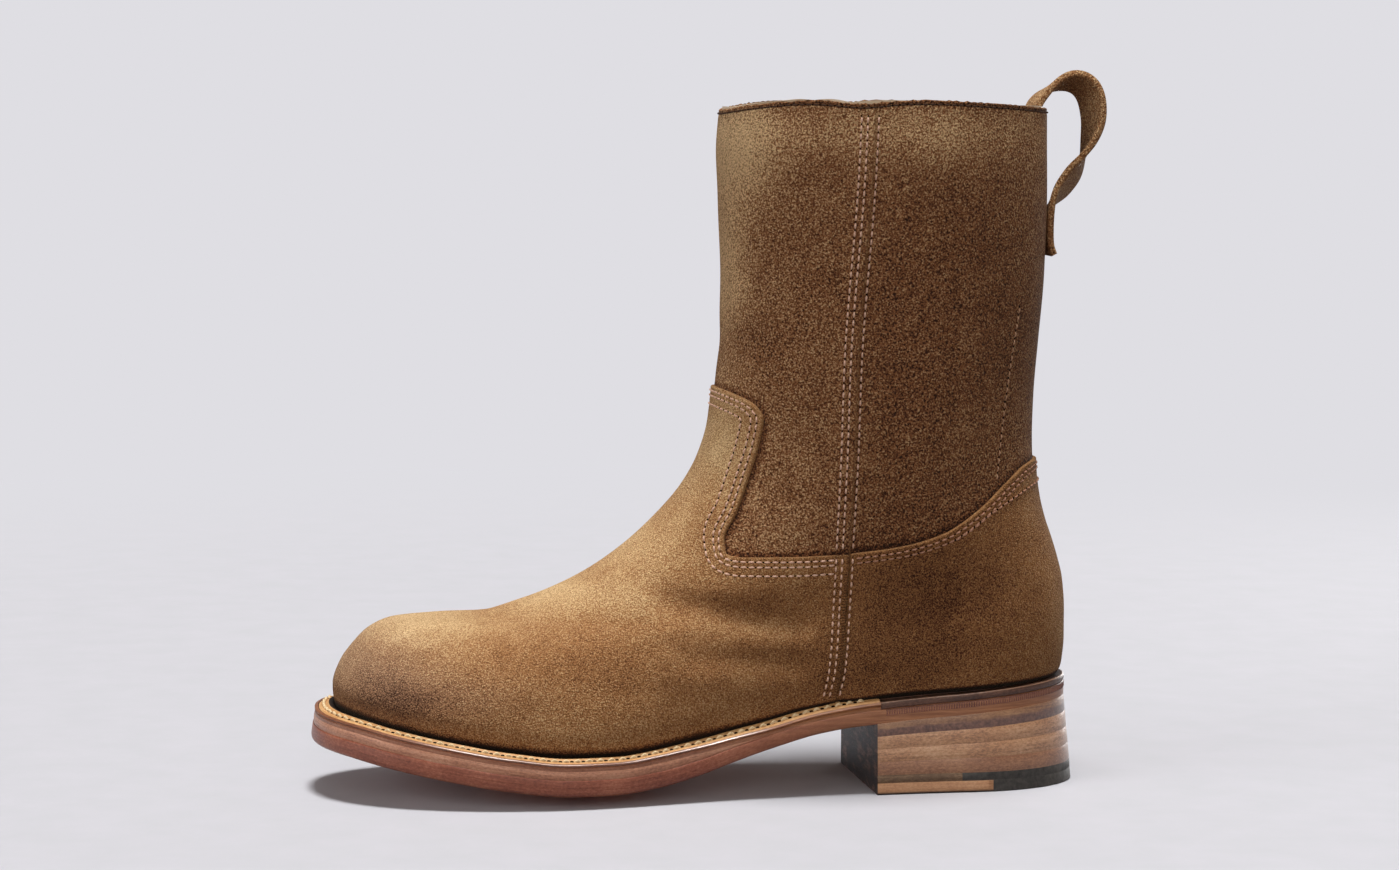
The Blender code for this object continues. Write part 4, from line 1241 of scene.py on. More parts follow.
# %% Panels
VAMP_ROWS, COUNTER_ROWS = (1.9, 3.9, 7.3), (2.0, 3.9)
VAMP_SEAM_ROWS, COUNTER_SEAM_ROWS = (2.9, 5.3), (1.3,)
FEATHER_LEVEL, PAINTED_FEATHER_SHADE, PAINTED_FEATHER_SHADE_SOFT = 0.012, 0.9, 0.016
PAINTED_FEATHER_SHADE_TOP = table("x level", [
    (0, 0.046), (60, 0.044), (120, 0.044), (150, 0.045), (178, 0.041), (204, 0.031), (225, 0.025),
    (304, 0.024)])
EDGE_CUT, EDGE_CUT_FADES = 0.55, (0.05, 0.35)
VAMP_BASE_POINTS, COUNTER_BASE_POINTS = 260, 140


def close_panel(name, top, under, faces, node):
    """Join a panel's two sides along its border."""
    count = len(top)
    seen = {(a, b) for triangle in faces for a, b in zip(triangle, triangle[1:] + triangle[:1])}
    border = [(a, b) for a, b in seen if (b, a) not in seen]
    every = list(faces)
    every += [[index + count for index in triangle[::-1]] for triangle in faces]
    every += [[b, a, a + count, b + count] for a, b in sorted(border)]
    points = np.vstack([top, under])
    return make_piece(name, points, every, [vamp_suede], "suede", [node], sharp_deg=60)


def make_panel(name, line, top_line, over, rows, seam_offsets, seam_sink, folded, node):
    """A closed panel from its side-view line, which runs with the panel on its right."""
    outer, inner, *trees = panel_edges(line, top_line, over)
    base_points = VAMP_BASE_POINTS if over == FRONT else COUNTER_BASE_POINTS
    ends = np.linspace(outer[-1, 0], inner[-1, 0], base_points)[1:-1]
    base = stacked(ends, FEATHER_LEVEL)
    outer[-1, 1] = inner[-1, 1] = FEATHER_LEVEL
    loop = np.vstack([outer, base, inner[:0:-1]])
    lanes = []
    for lane in LANES:
        moved = moved_right(line, lane)
        lanes += [lay_line(moved, over, side, LANE_STEP) for side in (1, -1)]
    laid, faces = fill(loop, lanes, trees[0])
    face, outward = on_upper(laid), upper_outward(laid[:, 1], laid[:, 0])
    height_at = height_maker(trees, rows, seam_offsets, seam_sink, folded)
    inside = distances(face, trees[0])
    top = face + outward * height_at(face)[:, None]
    fold = folded * fold_depth(face) * ease(inside, FOLD_FADES)
    under = face + outward * (PANEL_GAP / 2 - fold)[:, None]
    piece = close_panel(name, top, under, faces, node)
    # Painted shade: the nap is painted dark from the feather edge up to a level that changes along the boot,
    # for the gap above the welt.
    above_gap = laid[:, 1] - smooth(PAINTED_FEATHER_SHADE_TOP["x"], PAINTED_FEATHER_SHADE_TOP["level"], face[:, 0])
    shaded = tone_of(face) - PAINTED_FEATHER_SHADE * (1 - ease(above_gap, (0.0, PAINTED_FEATHER_SHADE_SOFT)))
    cut = EDGE_CUT * (1 - ease(inside, EDGE_CUT_FADES)) * (laid[:, 1] > 2 * FEATHER_LEVEL)
    note(piece, "tone", np.tile(shaded, 2))
    note(piece, "dust", np.tile(patches_at(face, DUST_PATCHES), 2))
    note(piece, "cut", np.tile(cut, 2))
    return height_at


vamp_height = make_panel("vamp_panel", VAMP_LINE, VAMP_TOP, FRONT, VAMP_ROWS, VAMP_SEAM_ROWS,
                         0.0, 1.0, "vamp")
counter_height = make_panel("counter_panel", COUNTER_LINE, COUNTER_TOP, BACK, COUNTER_ROWS,
                            COUNTER_SEAM_ROWS, COUNTER_SINK, 0.0, "heel_counter")

# %% [markdown]
# ## Painted shade beside the panels
# The panels' edges stand over the shaft and shade the nap below them. The renderer finds only part of
# that shade, so painted shade lowers the stored tone close to the edges.

# %% Shade beside the panels
PAINTED_BESIDE_SHADE, BESIDE_FADES = 0.30, (0.8, 2.8)


def paint_shade_beside_panels():
    """Paint shade on the shaft's nap where a panel's edge stands over it."""
    mesh = bpy.data.objects["shaft"].data
    places = np.empty(3 * len(mesh.vertices), np.float32)
    mesh.vertices.foreach_get("co", places)
    places = places.reshape(-1, 3) / MM + FRAME_MIDDLE
    places[:, 1] = 0
    edge = np.vstack([VAMP_TOP, COUNTER_TOP])
    tree = near_tree(stacked(edge[:, 0], 0, edge[:, 1]))
    tone = np.empty(len(places), np.float32)
    stored = mesh.attributes["tone"].data
    stored.foreach_get("value", tone)
    tone -= PAINTED_BESIDE_SHADE * (1 - ease(distances(places, tree), BESIDE_FADES))
    stored.foreach_set("value", tone.astype(np.float32))


paint_shade_beside_panels()
print("the shaft is darker beside the panels")

# %% [markdown]
# ## Rows of the upper
# A row of stitches could be drawn in space. Here it is a panel's edge or the seam, moved sideways by
# the distance that a machine's guide would keep, and lifted to the piece it is sewn through.

# %% Rows of the upper
ROW_STOPS, COUNTER_ROW_STOPS, ROW_STEP, SEAM_ROW_POINTS = 4.9, 2.2, 0.6, 260
RIM_TOP = 272.4


def sewn(laid, height_at):
    """Points and outward directions of a row, at the height of the piece it is sewn through."""
    face, outward = on_upper(laid), upper_outward(laid[:, 1], laid[:, 0])
    return face + outward * height_at(face)[:, None], outward


def side_rows(line, height_at):
    """A side-view line as a row on each side."""
    made = []
    for side in (1, -1):
        level, angle = find_on_upper(line[:, 0], line[:, 1], side)
        made.append(sewn(stacked(angle, level), height_at))
    return made


def edge_rows(top, over, offsets, height_at):
    """Rows beside a panel's edge, stopped short of the side seam."""
    made = []
    for offset in offsets:
        line = moved_right(top, offset)
        behind = line[:, 0] - lap_station(line[:, 1])
        line = line[-behind > ROW_STOPS] if over == FRONT else line[behind > COUNTER_ROW_STOPS]
        made += [sewn(lay_line(line, over, side, ROW_STEP), height_at) for side in (1, -1)]
    return made


def seam_rows(offset, high, low, height_at):
    """A row on each side that follows the lap between two heights."""
    z = np.linspace(high, low, SEAM_ROW_POINTS)
    return side_rows(stacked(lap_station(z) + offset, z), height_at)


def shaft_height(face):
    return shaft_relief(face, RIM_TOP - face[:, 2])


upper_rows = edge_rows(VAMP_TOP, FRONT, VAMP_ROWS, vamp_height)
counter_rows = edge_rows(COUNTER_TOP, BACK, COUNTER_ROWS, counter_height)
print("rows along the panels:", len(upper_rows) + len(counter_rows))

# %% [markdown]
# ## Sewing the upper
# Three rows follow the vamp's edge, two and a stray third one the counter's, and three run down each
# side seam. A single faint row crosses the back of the shaft. All could be one piece, but each kind of
# thread has its own tint and thickness.

# %% Sewing the upper
COUNTER_THIRD = table("x z", [
    (252, 100.8), (260, 105.6), (267, 110.6), (275, 115.4), (284.4, 119.8), (292, 122.4)])
BACK_ROW = table("x z", [(279.6, 193), (278.8, 187.5), (275.8, 167.7), (273.1, 147.9), (270.5, 123.5)])
SEAM_ENDS, SEAM_CLEAR, COLLAR_CLEAR = 39.0, 0.8, 4.0

counter_rows += side_rows(smooth_line(COUNTER_THIRD, ROW_STEP), counter_height)
for seam_offset in SEAM_ROWS:
    panel_height = vamp_height if seam_offset < 0 else counter_height
    upper_rows += seam_rows(seam_offset, RIM_TOP - COLLAR_CLEAR, SEAM_TOP + SEAM_CLEAR, shaft_height)
    upper_rows += seam_rows(seam_offset, SEAM_TOP - SEAM_CLEAR, SEAM_ENDS, panel_height)
back_rows = side_rows(smooth_line(BACK_ROW, ROW_STEP), shaft_height)
sew("upper_stitches", upper_rows, upper_thread, "suede")
sew("counter_stitches", counter_rows, counter_thread_painted_shade, "suede", thick=0.75)
sew("back_row_stitches", back_rows, faint_thread, "suede_shaft", thick=0.6)

# %% [markdown]
# ## The collar's row
# A dark row right under the rim holds the lining. It runs all round, so it isn't drawn in side view:
# it is one level of the upper's face, and swings with the rim.

# %% Collar row
COLLAR_POINTS = 900


def collar_row():
    levels, below_rim = shaft_levels()
    angle = np.linspace(0, 2 * math.pi, COLLAR_POINTS)
    level = np.interp(COLLAR_ROW, below_rim[::-1], levels[::-1])
    face, outward = upper_point(level, angle), upper_outward(level, angle)
    line = face + outward * shaft_relief(face, COLLAR_ROW)[:, None]
    line[:, 2] += rim_wave(face, level)
    return line, outward


sew("collar_stitches", [collar_row()], collar_thread, "suede_shaft", pitch=2.9, length=2.3, thick=0.75,
    hole=0.55)

# %% [markdown]
# ## The lining
# The shaft is lined with pale smooth leather, whose cut edge shows as a thin cream line above the
# suede. The shaft's inner wall could stand for it, but it has its own rim, so it is a tube of its own.

# %% Lining
LINING_DEPTH, LINING_THICK, LINING_EDGE = 1.5, 0.8, colour(240, 222, 194)
LINING_PROUD = table("x width rise", [(162, 4.5, 1.9), (203, 8, 1.2), (240, 14, 0.3), (289, 8, 1.0)])
LEAST_PROUD, PROUD_LEVELS, LINING_CUT_LEVELS = 0.35, (0.97, 1.0), (0.985, 1.0)
LINING_LEVELS = np.concatenate([np.linspace(0.015, 0.9, 44), np.linspace(0.9, 1, 9)[1:]])
LINING_COLUMNS = 180


def lining_finish():
    made = Finish("pale_lining", roughness=0.55, specular_ior_level=0.35)
    mixed = made.blend(made.noise(420.0, 4.0), made.noise(30.0, 3.0), 0.3)
    tint = made.ramp(mixed, ((196, 160, 112), (226, 198, 152)), (0.35, 0.6))
    made.set("Base Color", made.mix(made.attribute("cut"), tint, LINING_EDGE))
    made.set("Normal", made.bump(made.cells(900.0), 0.08))
    return made.material


def make_lining():
    levels = LINING_LEVELS[:, None]
    angles = np.linspace(0, 2 * math.pi, LINING_COLUMNS, endpoint=False)[None]
    face, outward = upper_point(levels, angles), upper_outward(levels, angles)
    outer = face - outward * (LINING_DEPTH + patches_at(face, DENTS))[..., None]
    inner = outer - outward * LINING_THICK
    proud = LEAST_PROUD + waves_at(face[..., 0], LINING_PROUD)
    lift = rim_wave(face, levels) + proud * ease(levels, PROUD_LEVELS)
    outer[..., 2] += lift
    inner[..., 2] += lift
    rows = np.concatenate([outer, inner[::-1]])
    faces = skin(len(rows), rows.shape[1], True)
    piece = make_piece("lining", rows.reshape(-1, 3), faces, [lining_finish()], "insole_leather")
    cut = np.broadcast_to(ease(levels, LINING_CUT_LEVELS), face.shape[:-1])
    note(piece, "cut", np.concatenate([cut, cut[::-1]]).ravel())


make_lining()

# %% [markdown]
# ## The insole
# The insole is a leather board that the foot stands on. It is seen only through the collar, so the CAD
# node itself stays and gets a finish with lengthwise fibres.

# %% Insole
def insole_finish():
    made = Finish("insole_board", roughness=0.7, specular_ior_level=0.3)
    wear = made.noise(24.0, 4.0)
    fibre = made.noise(1.0, 4.0, 0.6, made.stretched((300, 700, 300)))
    made.set("Base Color", made.ramp(made.blend(wear, fibre, 0.6), ((166, 128, 84), (206, 170, 122))))
    made.set("Normal", made.bump(fibre, 0.1))
    return made.material


insole_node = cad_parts["insole"]
insole_node.data.materials.clear()
insole_node.data.materials.append(insole_finish())
print("the insole keeps its CAD shape and gets", insole_node.data.materials[0].name)

# %% [markdown]
# ## Cut edges of sole leather
# Sole leather is cut on edge, sanded, dyed, waxed and ironed, and its layers stay visible as long
# streaks. A texture in the boot's space would cut across them at the toe, so the finish works in the
# edge's own measure: the distance along it and the height above its base, stored at each point.

# %% Edge leather
LEATHER_STOPS = (0.22, 0.5, 0.78)
CONTACT_SHADOW_HEIGHTS, CONTACT_SHADOW_DARK = (1.3, 0.5), colour(40, 26, 18)


def edge_leather(name, tints, roughness=0.42, coat=0.16, streak=0.32, speck=0.42):
    """A waxed cut edge from three tints, dark to light, and the shares of its streaks and specks."""
    made = Finish(name, roughness=roughness, coat_weight=coat, coat_roughness=0.28, specular_ior_level=0.4)
    edge = made.attribute("edge_place", "Vector")
    streaks = made.noise(1.0, 5.0, 0.65, made.stretched((30, 1, 1100), edge))
    specks = made.noise(1.0, 4.0, 0.7, made.stretched((700, 1, 1500), edge))
    clouds = made.noise(55.0, 3.0)
    shade = made.math("MULTIPLY", made.spread(streaks), streak)
    shade = made.plus_share(shade, made.spread(specks), speck)
    shade = made.plus_share(shade, made.spread(clouds), 1.0 - streak - speck)
    made.set("Base Color", made.ramp(shade, tints, LEATHER_STOPS))
    made.set("Normal", made.bump(made.math("ADD", streaks, specks), 0.07))
    return made


def paint_contact_shadow(made):
    """Paints contact shadow on the lowest millimetre of a finish, where the heel's corner turns under."""
    height = made.part(made.place, "Z")
    shadowed = made.spread(height, *(limit * MM for limit in CONTACT_SHADOW_HEIGHTS))
    made.set("Base Color", made.mix(shadowed, made.base(), CONTACT_SHADOW_DARK))
    return made.material


midsole_edge = edge_leather("midsole_edge", ((162, 105, 81), (211, 150, 119), (232, 180, 150))).material
welt_top = edge_leather("welt_top", ((186, 130, 78), (216, 164, 106), (232, 190, 136)),
                        roughness=0.55, coat=0.1, streak=0.35).material
# Painted shade: the groove behind the bead and the lip under the upper are painted near black.
welt_inner_painted_shade = edge_leather("welt_inner_painted_shade", ((16, 10, 7), (28, 18, 11), (48, 31, 20)),
                          roughness=0.8, coat=0.0).material
rand_leather = edge_leather("rand_leather", ((56, 34, 24), (88, 57, 43), (128, 88, 68)),
                            roughness=0.5, coat=0.12).material
# The rand's rounded top edge is paler.
rand_light = edge_leather("rand_pale_top_edge", ((90, 62, 46), (140, 104, 80), (190, 154, 124))).material
lift_leather = edge_leather("lift_leather", ((156, 108, 74), (208, 154, 112), (230, 188, 148)),
                            coat=0.8, streak=0.26, speck=0.5).material
low_lift_leather = edge_leather("low_lift_leather", ((128, 82, 54), (167, 114, 78), (196, 146, 107)),
                                coat=0.8, streak=0.26, speck=0.5).material
# The top piece's leather gets painted contact shadow along its lowest millimetre.
top_leather = paint_contact_shadow(edge_leather("top_leather", ((170, 118, 82), (194, 143, 103), (212, 165, 126)),
                                     coat=0.1))
layer_board = edge_leather("layer_board", ((92, 68, 50), (124, 96, 70), (156, 126, 96)), coat=0.1).material
print("edge finishes:", midsole_edge.name, welt_top.name, rand_leather.name, lift_leather.name)

# %% [markdown]
# ## Edges that change along the boot
# Outsole and welt go from red and smooth at the forepart to tan and streaked in the waist. Two
# materials would meet at a hard line, so one finish fades from station to station.

# %% Changing edges
WAIST_STARTS, WELT_WAIST_ENDS, OUTSOLE_WAIST_ENDS = 149.8, 204.8, 225.8
DULL_TOE, DULL_WAIST = (54.8, 19.8), (163.8, 181.8)
BEAD_COAT, COAT_LOST, BEAD_ROUGHNESS, ROUGHNESS_WON = 0.9, -0.8, 0.24, 0.26


def along_boot(made, start, end):
    """A share that grows from 0 to 1 between two stations of the boot."""
    start_x, end_x = ((station - FRAME_MIDDLE[0]) * MM for station in (start, end))
    return made.spread(made.part(made.place, "X"), start_x, end_x)


def changing_edge(name, fore, waist, waist_ends):
    """An edge leather that changes from the forepart to the waist."""
    made = edge_leather(name, fore)
    grain = made.noise(1.0, 5.0, 0.65, made.stretched((60, 60, 900)))
    share = along_boot(made, WAIST_STARTS, waist_ends)
    made.set("Base Color", made.mix(share, made.base(), made.ramp(grain, waist)))
    return made


def polished_bead():
    """The welt's bead: polished along the side, dull round the toe and in the waist."""
    made = changing_edge("bead_leather", ((104, 60, 40), (136, 84, 56), (170, 112, 78)),
                         ((120, 70, 42), (176, 118, 74)), WELT_WAIST_ENDS)
    dull = made.math("ADD", along_boot(made, *DULL_TOE), along_boot(made, *DULL_WAIST))
    made.set("Coat Weight", made.plus_share(BEAD_COAT, dull, COAT_LOST))
    made.set("Roughness", made.plus_share(BEAD_ROUGHNESS, dull, ROUGHNESS_WON))
    return made.material


outsole_edge = changing_edge("outsole_edge", ((114, 56, 39), (160, 90, 65), (192, 124, 95)),
                             ((132, 78, 48), (194, 134, 92)), OUTSOLE_WAIST_ENDS).material
welt_edge = changing_edge("welt_edge", ((140, 88, 66), (180, 122, 94), (206, 152, 122)),
                          ((140, 84, 52), (200, 142, 96)), WELT_WAIST_ENDS).material
bead_leather = polished_bead()
print("changing edges:", outsole_edge.name, welt_edge.name, bead_leather.name)

# %% [markdown]
# ## Band, breast and rubber
# The top lift is a dark leather below a tan one. The breast is burnished almost black and scratched
# through, and the rubber is dull and dusty. The plain recipe suits none, so each has its own finish.

# %% Band, breast and rubber
BAND_RAGGED, BAND_SOFT = 0.30, (0.62, 0.80)


def banded_lift():
    """The top lift is two leathers: a dark one below and a tan one above."""
    made = edge_leather("banded_lift", ((124, 84, 58), (164, 118, 82), (190, 146, 106)), coat=0.8)
    height = made.part(made.attribute("edge_place", "Vector"), "Y")
    uneven = made.plus_share(height, made.noise(260.0, 3.0), BAND_RAGGED)
    dark = made.ramp(made.noise(700.0, 4.0), ((88, 56, 46), (150, 106, 86)))
    made.set("Base Color", made.mix(made.spread(uneven, *BAND_SOFT), dark, made.base()))
    return made.material


def breast_finish():
    made = Finish("burnished_breast", roughness=0.5, coat_weight=0.10, coat_roughness=0.3,
                  specular_ior_level=0.2)
    scratches = made.noise(1.0, 6.0, 0.7, made.stretched((90, 90, 420)))
    mixed = made.blend(scratches, made.noise(70.0, 3.0), 0.6)
    tints = ((20, 12, 9), (54, 34, 26), (156, 120, 102))
    made.set("Base Color", made.ramp(mixed, tints, (0.38, 0.50, 0.62)))
    made.set("Normal", made.bump(scratches, 0.6))
    return made.material


def rubber_finish():
    made = Finish("heel_rubber", roughness=0.62, specular_ior_level=0.4)
    dust = made.noise(520.0, 4.0)
    made.set("Base Color", made.ramp(dust, ((53, 51, 49), (84, 81, 77))))
    made.set("Normal", made.bump(dust, 0.06))
    return made.material


band_leather, breast_leather, back_rubber = banded_lift(), breast_finish(), rubber_finish()
print("heel finishes:", band_leather.name, breast_leather.name, back_rubber.name)

# %% [markdown]
# ## The sole's edge
# The sole's edge is one line in plan, and all layers follow it. A bevelled curve could draw them, but
# each layer has its own section and finishes. So a strip is a section, swept along the line. The
# forepart's edge stands square to the toe spring, so a higher point lies a little further back.

# %% The sole's edge
LEAN, LEAN_FADES = 0.55, (60.0, 112.0)
PLAN_TURN = np.linspace(-math.pi, math.pi, 1441)
PLAN = {name: float(values[0]) for name, values in SOLE_PLAN.items()}


def edge_line():
    x, y = plan_ring(PLAN, PLAN_TURN)
    along_x, along_y = np.gradient(x), np.gradient(y)
    length = np.hypot(along_x, along_y)
    return x, y, along_y / length, -along_x / length, np.cumsum(length)


EDGE = edge_line()


def sole_edge(angles, out):
    """Plan of the sole's edge, moved outwards, and the distance along it."""
    x, y, out_x, out_y, along = (np.interp(angles, PLAN_TURN, values) for values in EDGE)
    return x + out * out_x, y + out * out_y, along


def leaned(x, y, z):
    inside = np.maximum(x, 1.0)
    slope = sole_level(inside + 0.5, 0 * x) - sole_level(inside - 0.5, 0 * x)
    return x - LEAN * slope * (z - sole_level(x, y)) * (1 - ease(x, LEAN_FADES))


def edge_strip(name, angles, profile, bed, rise, finishes, slot, node):
    """Sweep a closed cross section along the sole's edge. Each row of the profile has its place
    outside the edge, its height above the bed, the share of the rise it adds, and its finish."""
    points, places = [], []
    for out, height, share, _ in profile:
        x, y, along = sole_edge(angles, out)
        z = bed(x, y) + height + share * rise(x)
        points.append(stacked(leaned(x, y, z), y, z))
        places.append(stacked(along, out, height + share * MIDSOLE_THICK))
    rows, columns = len(profile), len(angles)
    faces = skin(rows, columns, True, False).tolist()
    index = np.repeat([row[3] for row in profile], columns - 1).tolist()
    for column in (0, columns - 1):
        faces.append((np.arange(rows) * columns + column).tolist())
        index.append(profile[0][3])
    piece = make_piece(name, np.concatenate(points), faces, finishes, slot, node, index)
    note(piece, "edge_place", np.concatenate(places) * MM)


def angle_of(station):
    return math.acos(1 - 2 * station / OUTSOLE_LENGTH)


def wrapped(angles):
    """Angles that run on past the back, as the plan counts them."""
    return np.where(angles > math.pi, angles - 2 * math.pi, angles)


print("edge of the sole:", round(float(EDGE[4][-1])), "mm around")

# %% [markdown]
# ## Welt, midsole and rand
# The welt carries the sole: it has a square edge, a polished bead, a stitch channel and a hidden lip.
# The half midsole is skived away in the waist, and the rand carries the welt's line round the heel.
# All three are strips, because only their sections differ.

# %% Welt, midsole and rand
WELT_JOINT = BREAST_STATION + 3.6
MIDSOLE_ENDS = 181.0
WELT_PROFILE = [
    (-0.30, -0.45, 0, 0), (-0.18, 0.75, 0, 0), (-0.60, 1.12, 0, 0), (-0.68, 1.26, 0, 0), (-0.25, 1.40, 0, 3),
    (0.00, 1.62, 0, 3), (0.05, 1.82, 0, 3), (0.02, 1.98, 0, 3), (-0.10, 2.12, 0, 3), (-0.62, 2.60, 0, 3),
    (-0.78, 2.70, 0, 3), (-1.02, 2.73, 0, 3), (-1.30, 2.60, 0, 2), (-1.42, 2.48, 0, 2), (-1.56, 2.54, 0, 1),
    (-1.80, 2.80, 0, 1), (-2.3, 3.12, 0, 1), (-2.9, 3.46, 0, 1), (-3.15, 3.42, 0, 1), (-3.9, 3.82, 0, 1),
    (-4.4, 4.25, 0, 1), (-4.8, 4.70, 0, 1), (-5.2, 4.95, 0, 2), (-8.0, 4.95, 0, 2), (-10.5, 3.6, 0, 2),
    (-13.0, 2.7, 0, 2), (-20.0, 2.6, 0, 2), (-20.0, -0.1, 0, 2), (-6.0, -0.1, 0, 0)]
MIDSOLE_PROFILE = [
    (-0.42, 0.0, 0, 0), (-0.20, 0.18, 0.05, 0), (-0.12, 0.2, 0.5, 0), (-0.18, 0.12, 0.92, 0),
    (-0.36, 0.12, 1.0, 0), (-12.0, 0.1, 1.0, 0), (-12.0, 0.0, 0, 0)]
RAND_PROFILE = [
    (-0.35, -0.12, 0, 0), (-0.08, 0.12, 0, 0), (0.05, 0.8, 0, 0), (0.05, 1.9, 0, 0), (-0.10, 2.35, 0, 1),
    (-0.40, 2.62, 0, 1), (-0.75, 2.66, 0, 0), (-2.0, 2.6, 0, 0), (-11.0, 2.5, 0, 0), (-11.0, -0.1, 0, 0)]
OUTSOLE_TOP = OUTSOLE_THICK + 0.12
WELT_COLUMNS, MIDSOLE_COLUMNS, RAND_COLUMNS, JOINT_GAP = 620, 520, 260, 0.15


def reach_to(station, columns):
    """Angles from a station on the inner side, round the toe, to the same one on the outer side."""
    turn = angle_of(station)
    return np.linspace(-turn, turn, columns)


def outsole_top(x, y):
    return sole_level(x, y) + OUTSOLE_TOP


WELT_REACH = reach_to(WELT_JOINT, WELT_COLUMNS)
RAND_TURN = angle_of(WELT_JOINT + JOINT_GAP)
RAND_REACH = wrapped(np.linspace(RAND_TURN, 2 * math.pi - RAND_TURN, RAND_COLUMNS))
edge_strip("welt_strip", WELT_REACH, WELT_PROFILE, welt_bed, midsole_rise,
           [welt_edge, welt_top, welt_inner_painted_shade, bead_leather], "natural_welt", ["welt"])
edge_strip("midsole_runner", reach_to(MIDSOLE_ENDS, MIDSOLE_COLUMNS), MIDSOLE_PROFILE, outsole_top,
           midsole_rise, [midsole_edge], "midsole_edge", ["midsole"])
edge_strip("rand_strip", RAND_REACH, RAND_PROFILE, welt_bed, midsole_rise,
           [rand_leather, rand_light], "dark_rand", ["heel_rand"])

# %% [markdown]
# ## The outsole
# The outsole is one plate from the toe to the heel seat. One large face for each side would be
# shorter, but could not follow the camber, so rungs run from each point of the edge to the one across.

# %% Outsole
PLATE_POINTS, PLATE_ACROSS, PLATE_SUNK = 420, 7, 0.02
CORNER_FADES = (206.0, 221.0)
OUTSOLE_EDGE = [
    (-2.4, 0.0), (-1.1, 0.015), (-0.5, 0.07), (-0.15, 0.15), (0.0, 0.27), (0.02, 0.6), (0.0, 0.9),
    (-0.12, 0.97), (-0.32, 1.0)]


def outsole_under(x, y):
    return np.maximum(sole_level(x, y) - FLAT_SPOT_DEPTH * (1 - ease(x, CAMBER_FADES)), 0.0)


def flat_side(ring, across, level):
    """Points that fill a ring: rungs from each point to the one on the other side."""
    half = len(ring) // 2
    share = np.linspace(0, 1, across + 2)[1:-1, None]
    inner = np.concatenate([ring[k] + share * (ring[-1 - k] - ring[k]) for k in range(half)])
    inner[:, 2] = level(inner[:, 0], inner[:, 1])
    return inner


def rung_faces(first, count, inner_first, across):
    """Faces between the rungs of a ring that starts at one point number, and of its filling."""
    rungs = []
    for k in range(count // 2):
        between = range(inner_first + k * across, inner_first + (k + 1) * across)
        rungs.append([first + k, *between, first + count - 1 - k])
    return quads(np.array(rungs))


def make_outsole():
    angles = wrapped((np.arange(PLATE_POINTS) + 0.5) * 2 * math.pi / PLATE_POINTS)
    square_back = ease(sole_edge(angles, 0.0)[0], CORNER_FADES)
    rows, places = [], []
    for out, share in OUTSOLE_EDGE:
        soft = 1 - square_back if share < 0.5 else 1.0
        x, y, along = sole_edge(angles, out * soft)
        low, high = outsole_under(x, y), outsole_top(x, y)
        z = low + share * (high - low)
        rows.append(stacked(leaned(x, y, z), y, z))
        places.append(stacked(along, out, share * OUTSOLE_TOP))
    under = flat_side(rows[0], PLATE_ACROSS, outsole_under)
    over = flat_side(rows[-1], PLATE_ACROSS, lambda x, y: outsole_top(x, y) - PLATE_SUNK)
    count, ring_points = PLATE_POINTS, len(rows) * PLATE_POINTS
    faces = np.concatenate([
        skin(len(rows), count), rung_faces(0, count, ring_points, PLATE_ACROSS),
        rung_faces(ring_points - count, count, ring_points + len(under), PLATE_ACROSS)])
    points = np.concatenate([*rows, under, over])
    piece = make_piece("outsole_plate", points, faces, [outsole_edge], "sole_edge", ["outsole"])
    flat_places = np.concatenate([under, over])
    flat_places[:, 2] = OUTSOLE_TOP / 2
    note(piece, "edge_place", np.concatenate([*places, flat_places]) * MM)


make_outsole()

# %% [markdown]
# ## Wheel marks
# A hot toothed wheel leaves a band of fine upright ticks round the heel's edge. A bump would blur at
# this size, so the band is a thin ribbon that waves in and out, one wave to a tick.

# %% Wheel marks
TICK_PITCH, TICK_DEPTH, TICK_COLUMNS = 1.0, 0.30, 6
BAND_LOW, BAND_HIGH = 0.52, 0.97
BAND_TALL, BAND_CLEAR, PLAN_HALF = 2.4, 2.0, len(PLAN_TURN) // 2
BAND_PROFILE = ((0.0, -0.3), (0.02, 0.05), (0.15, 0.20), (0.85, 0.20), (0.98, 0.05), (1.0, -0.3))
TICK_BOTTOM, TICK_TOP, TICK_PAINTED_SHADE = -0.06, 0.16, colour(58, 32, 26)
TICKS_START, TICKS_END = 0.1, 0.9


def marked_finish():
    """Red-brown leather, with painted shade at the bottom of each tick."""
    made = edge_leather("marked_leather", ((96, 52, 40), (140, 82, 64), (176, 118, 96)))
    out = made.part(made.attribute("edge_place", "Vector"), "Y")
    proud = made.spread(out, TICK_BOTTOM * MM, TICK_TOP * MM)
    made.set("Base Color", made.mix(proud, TICK_PAINTED_SHADE, made.base()))
    return made.material


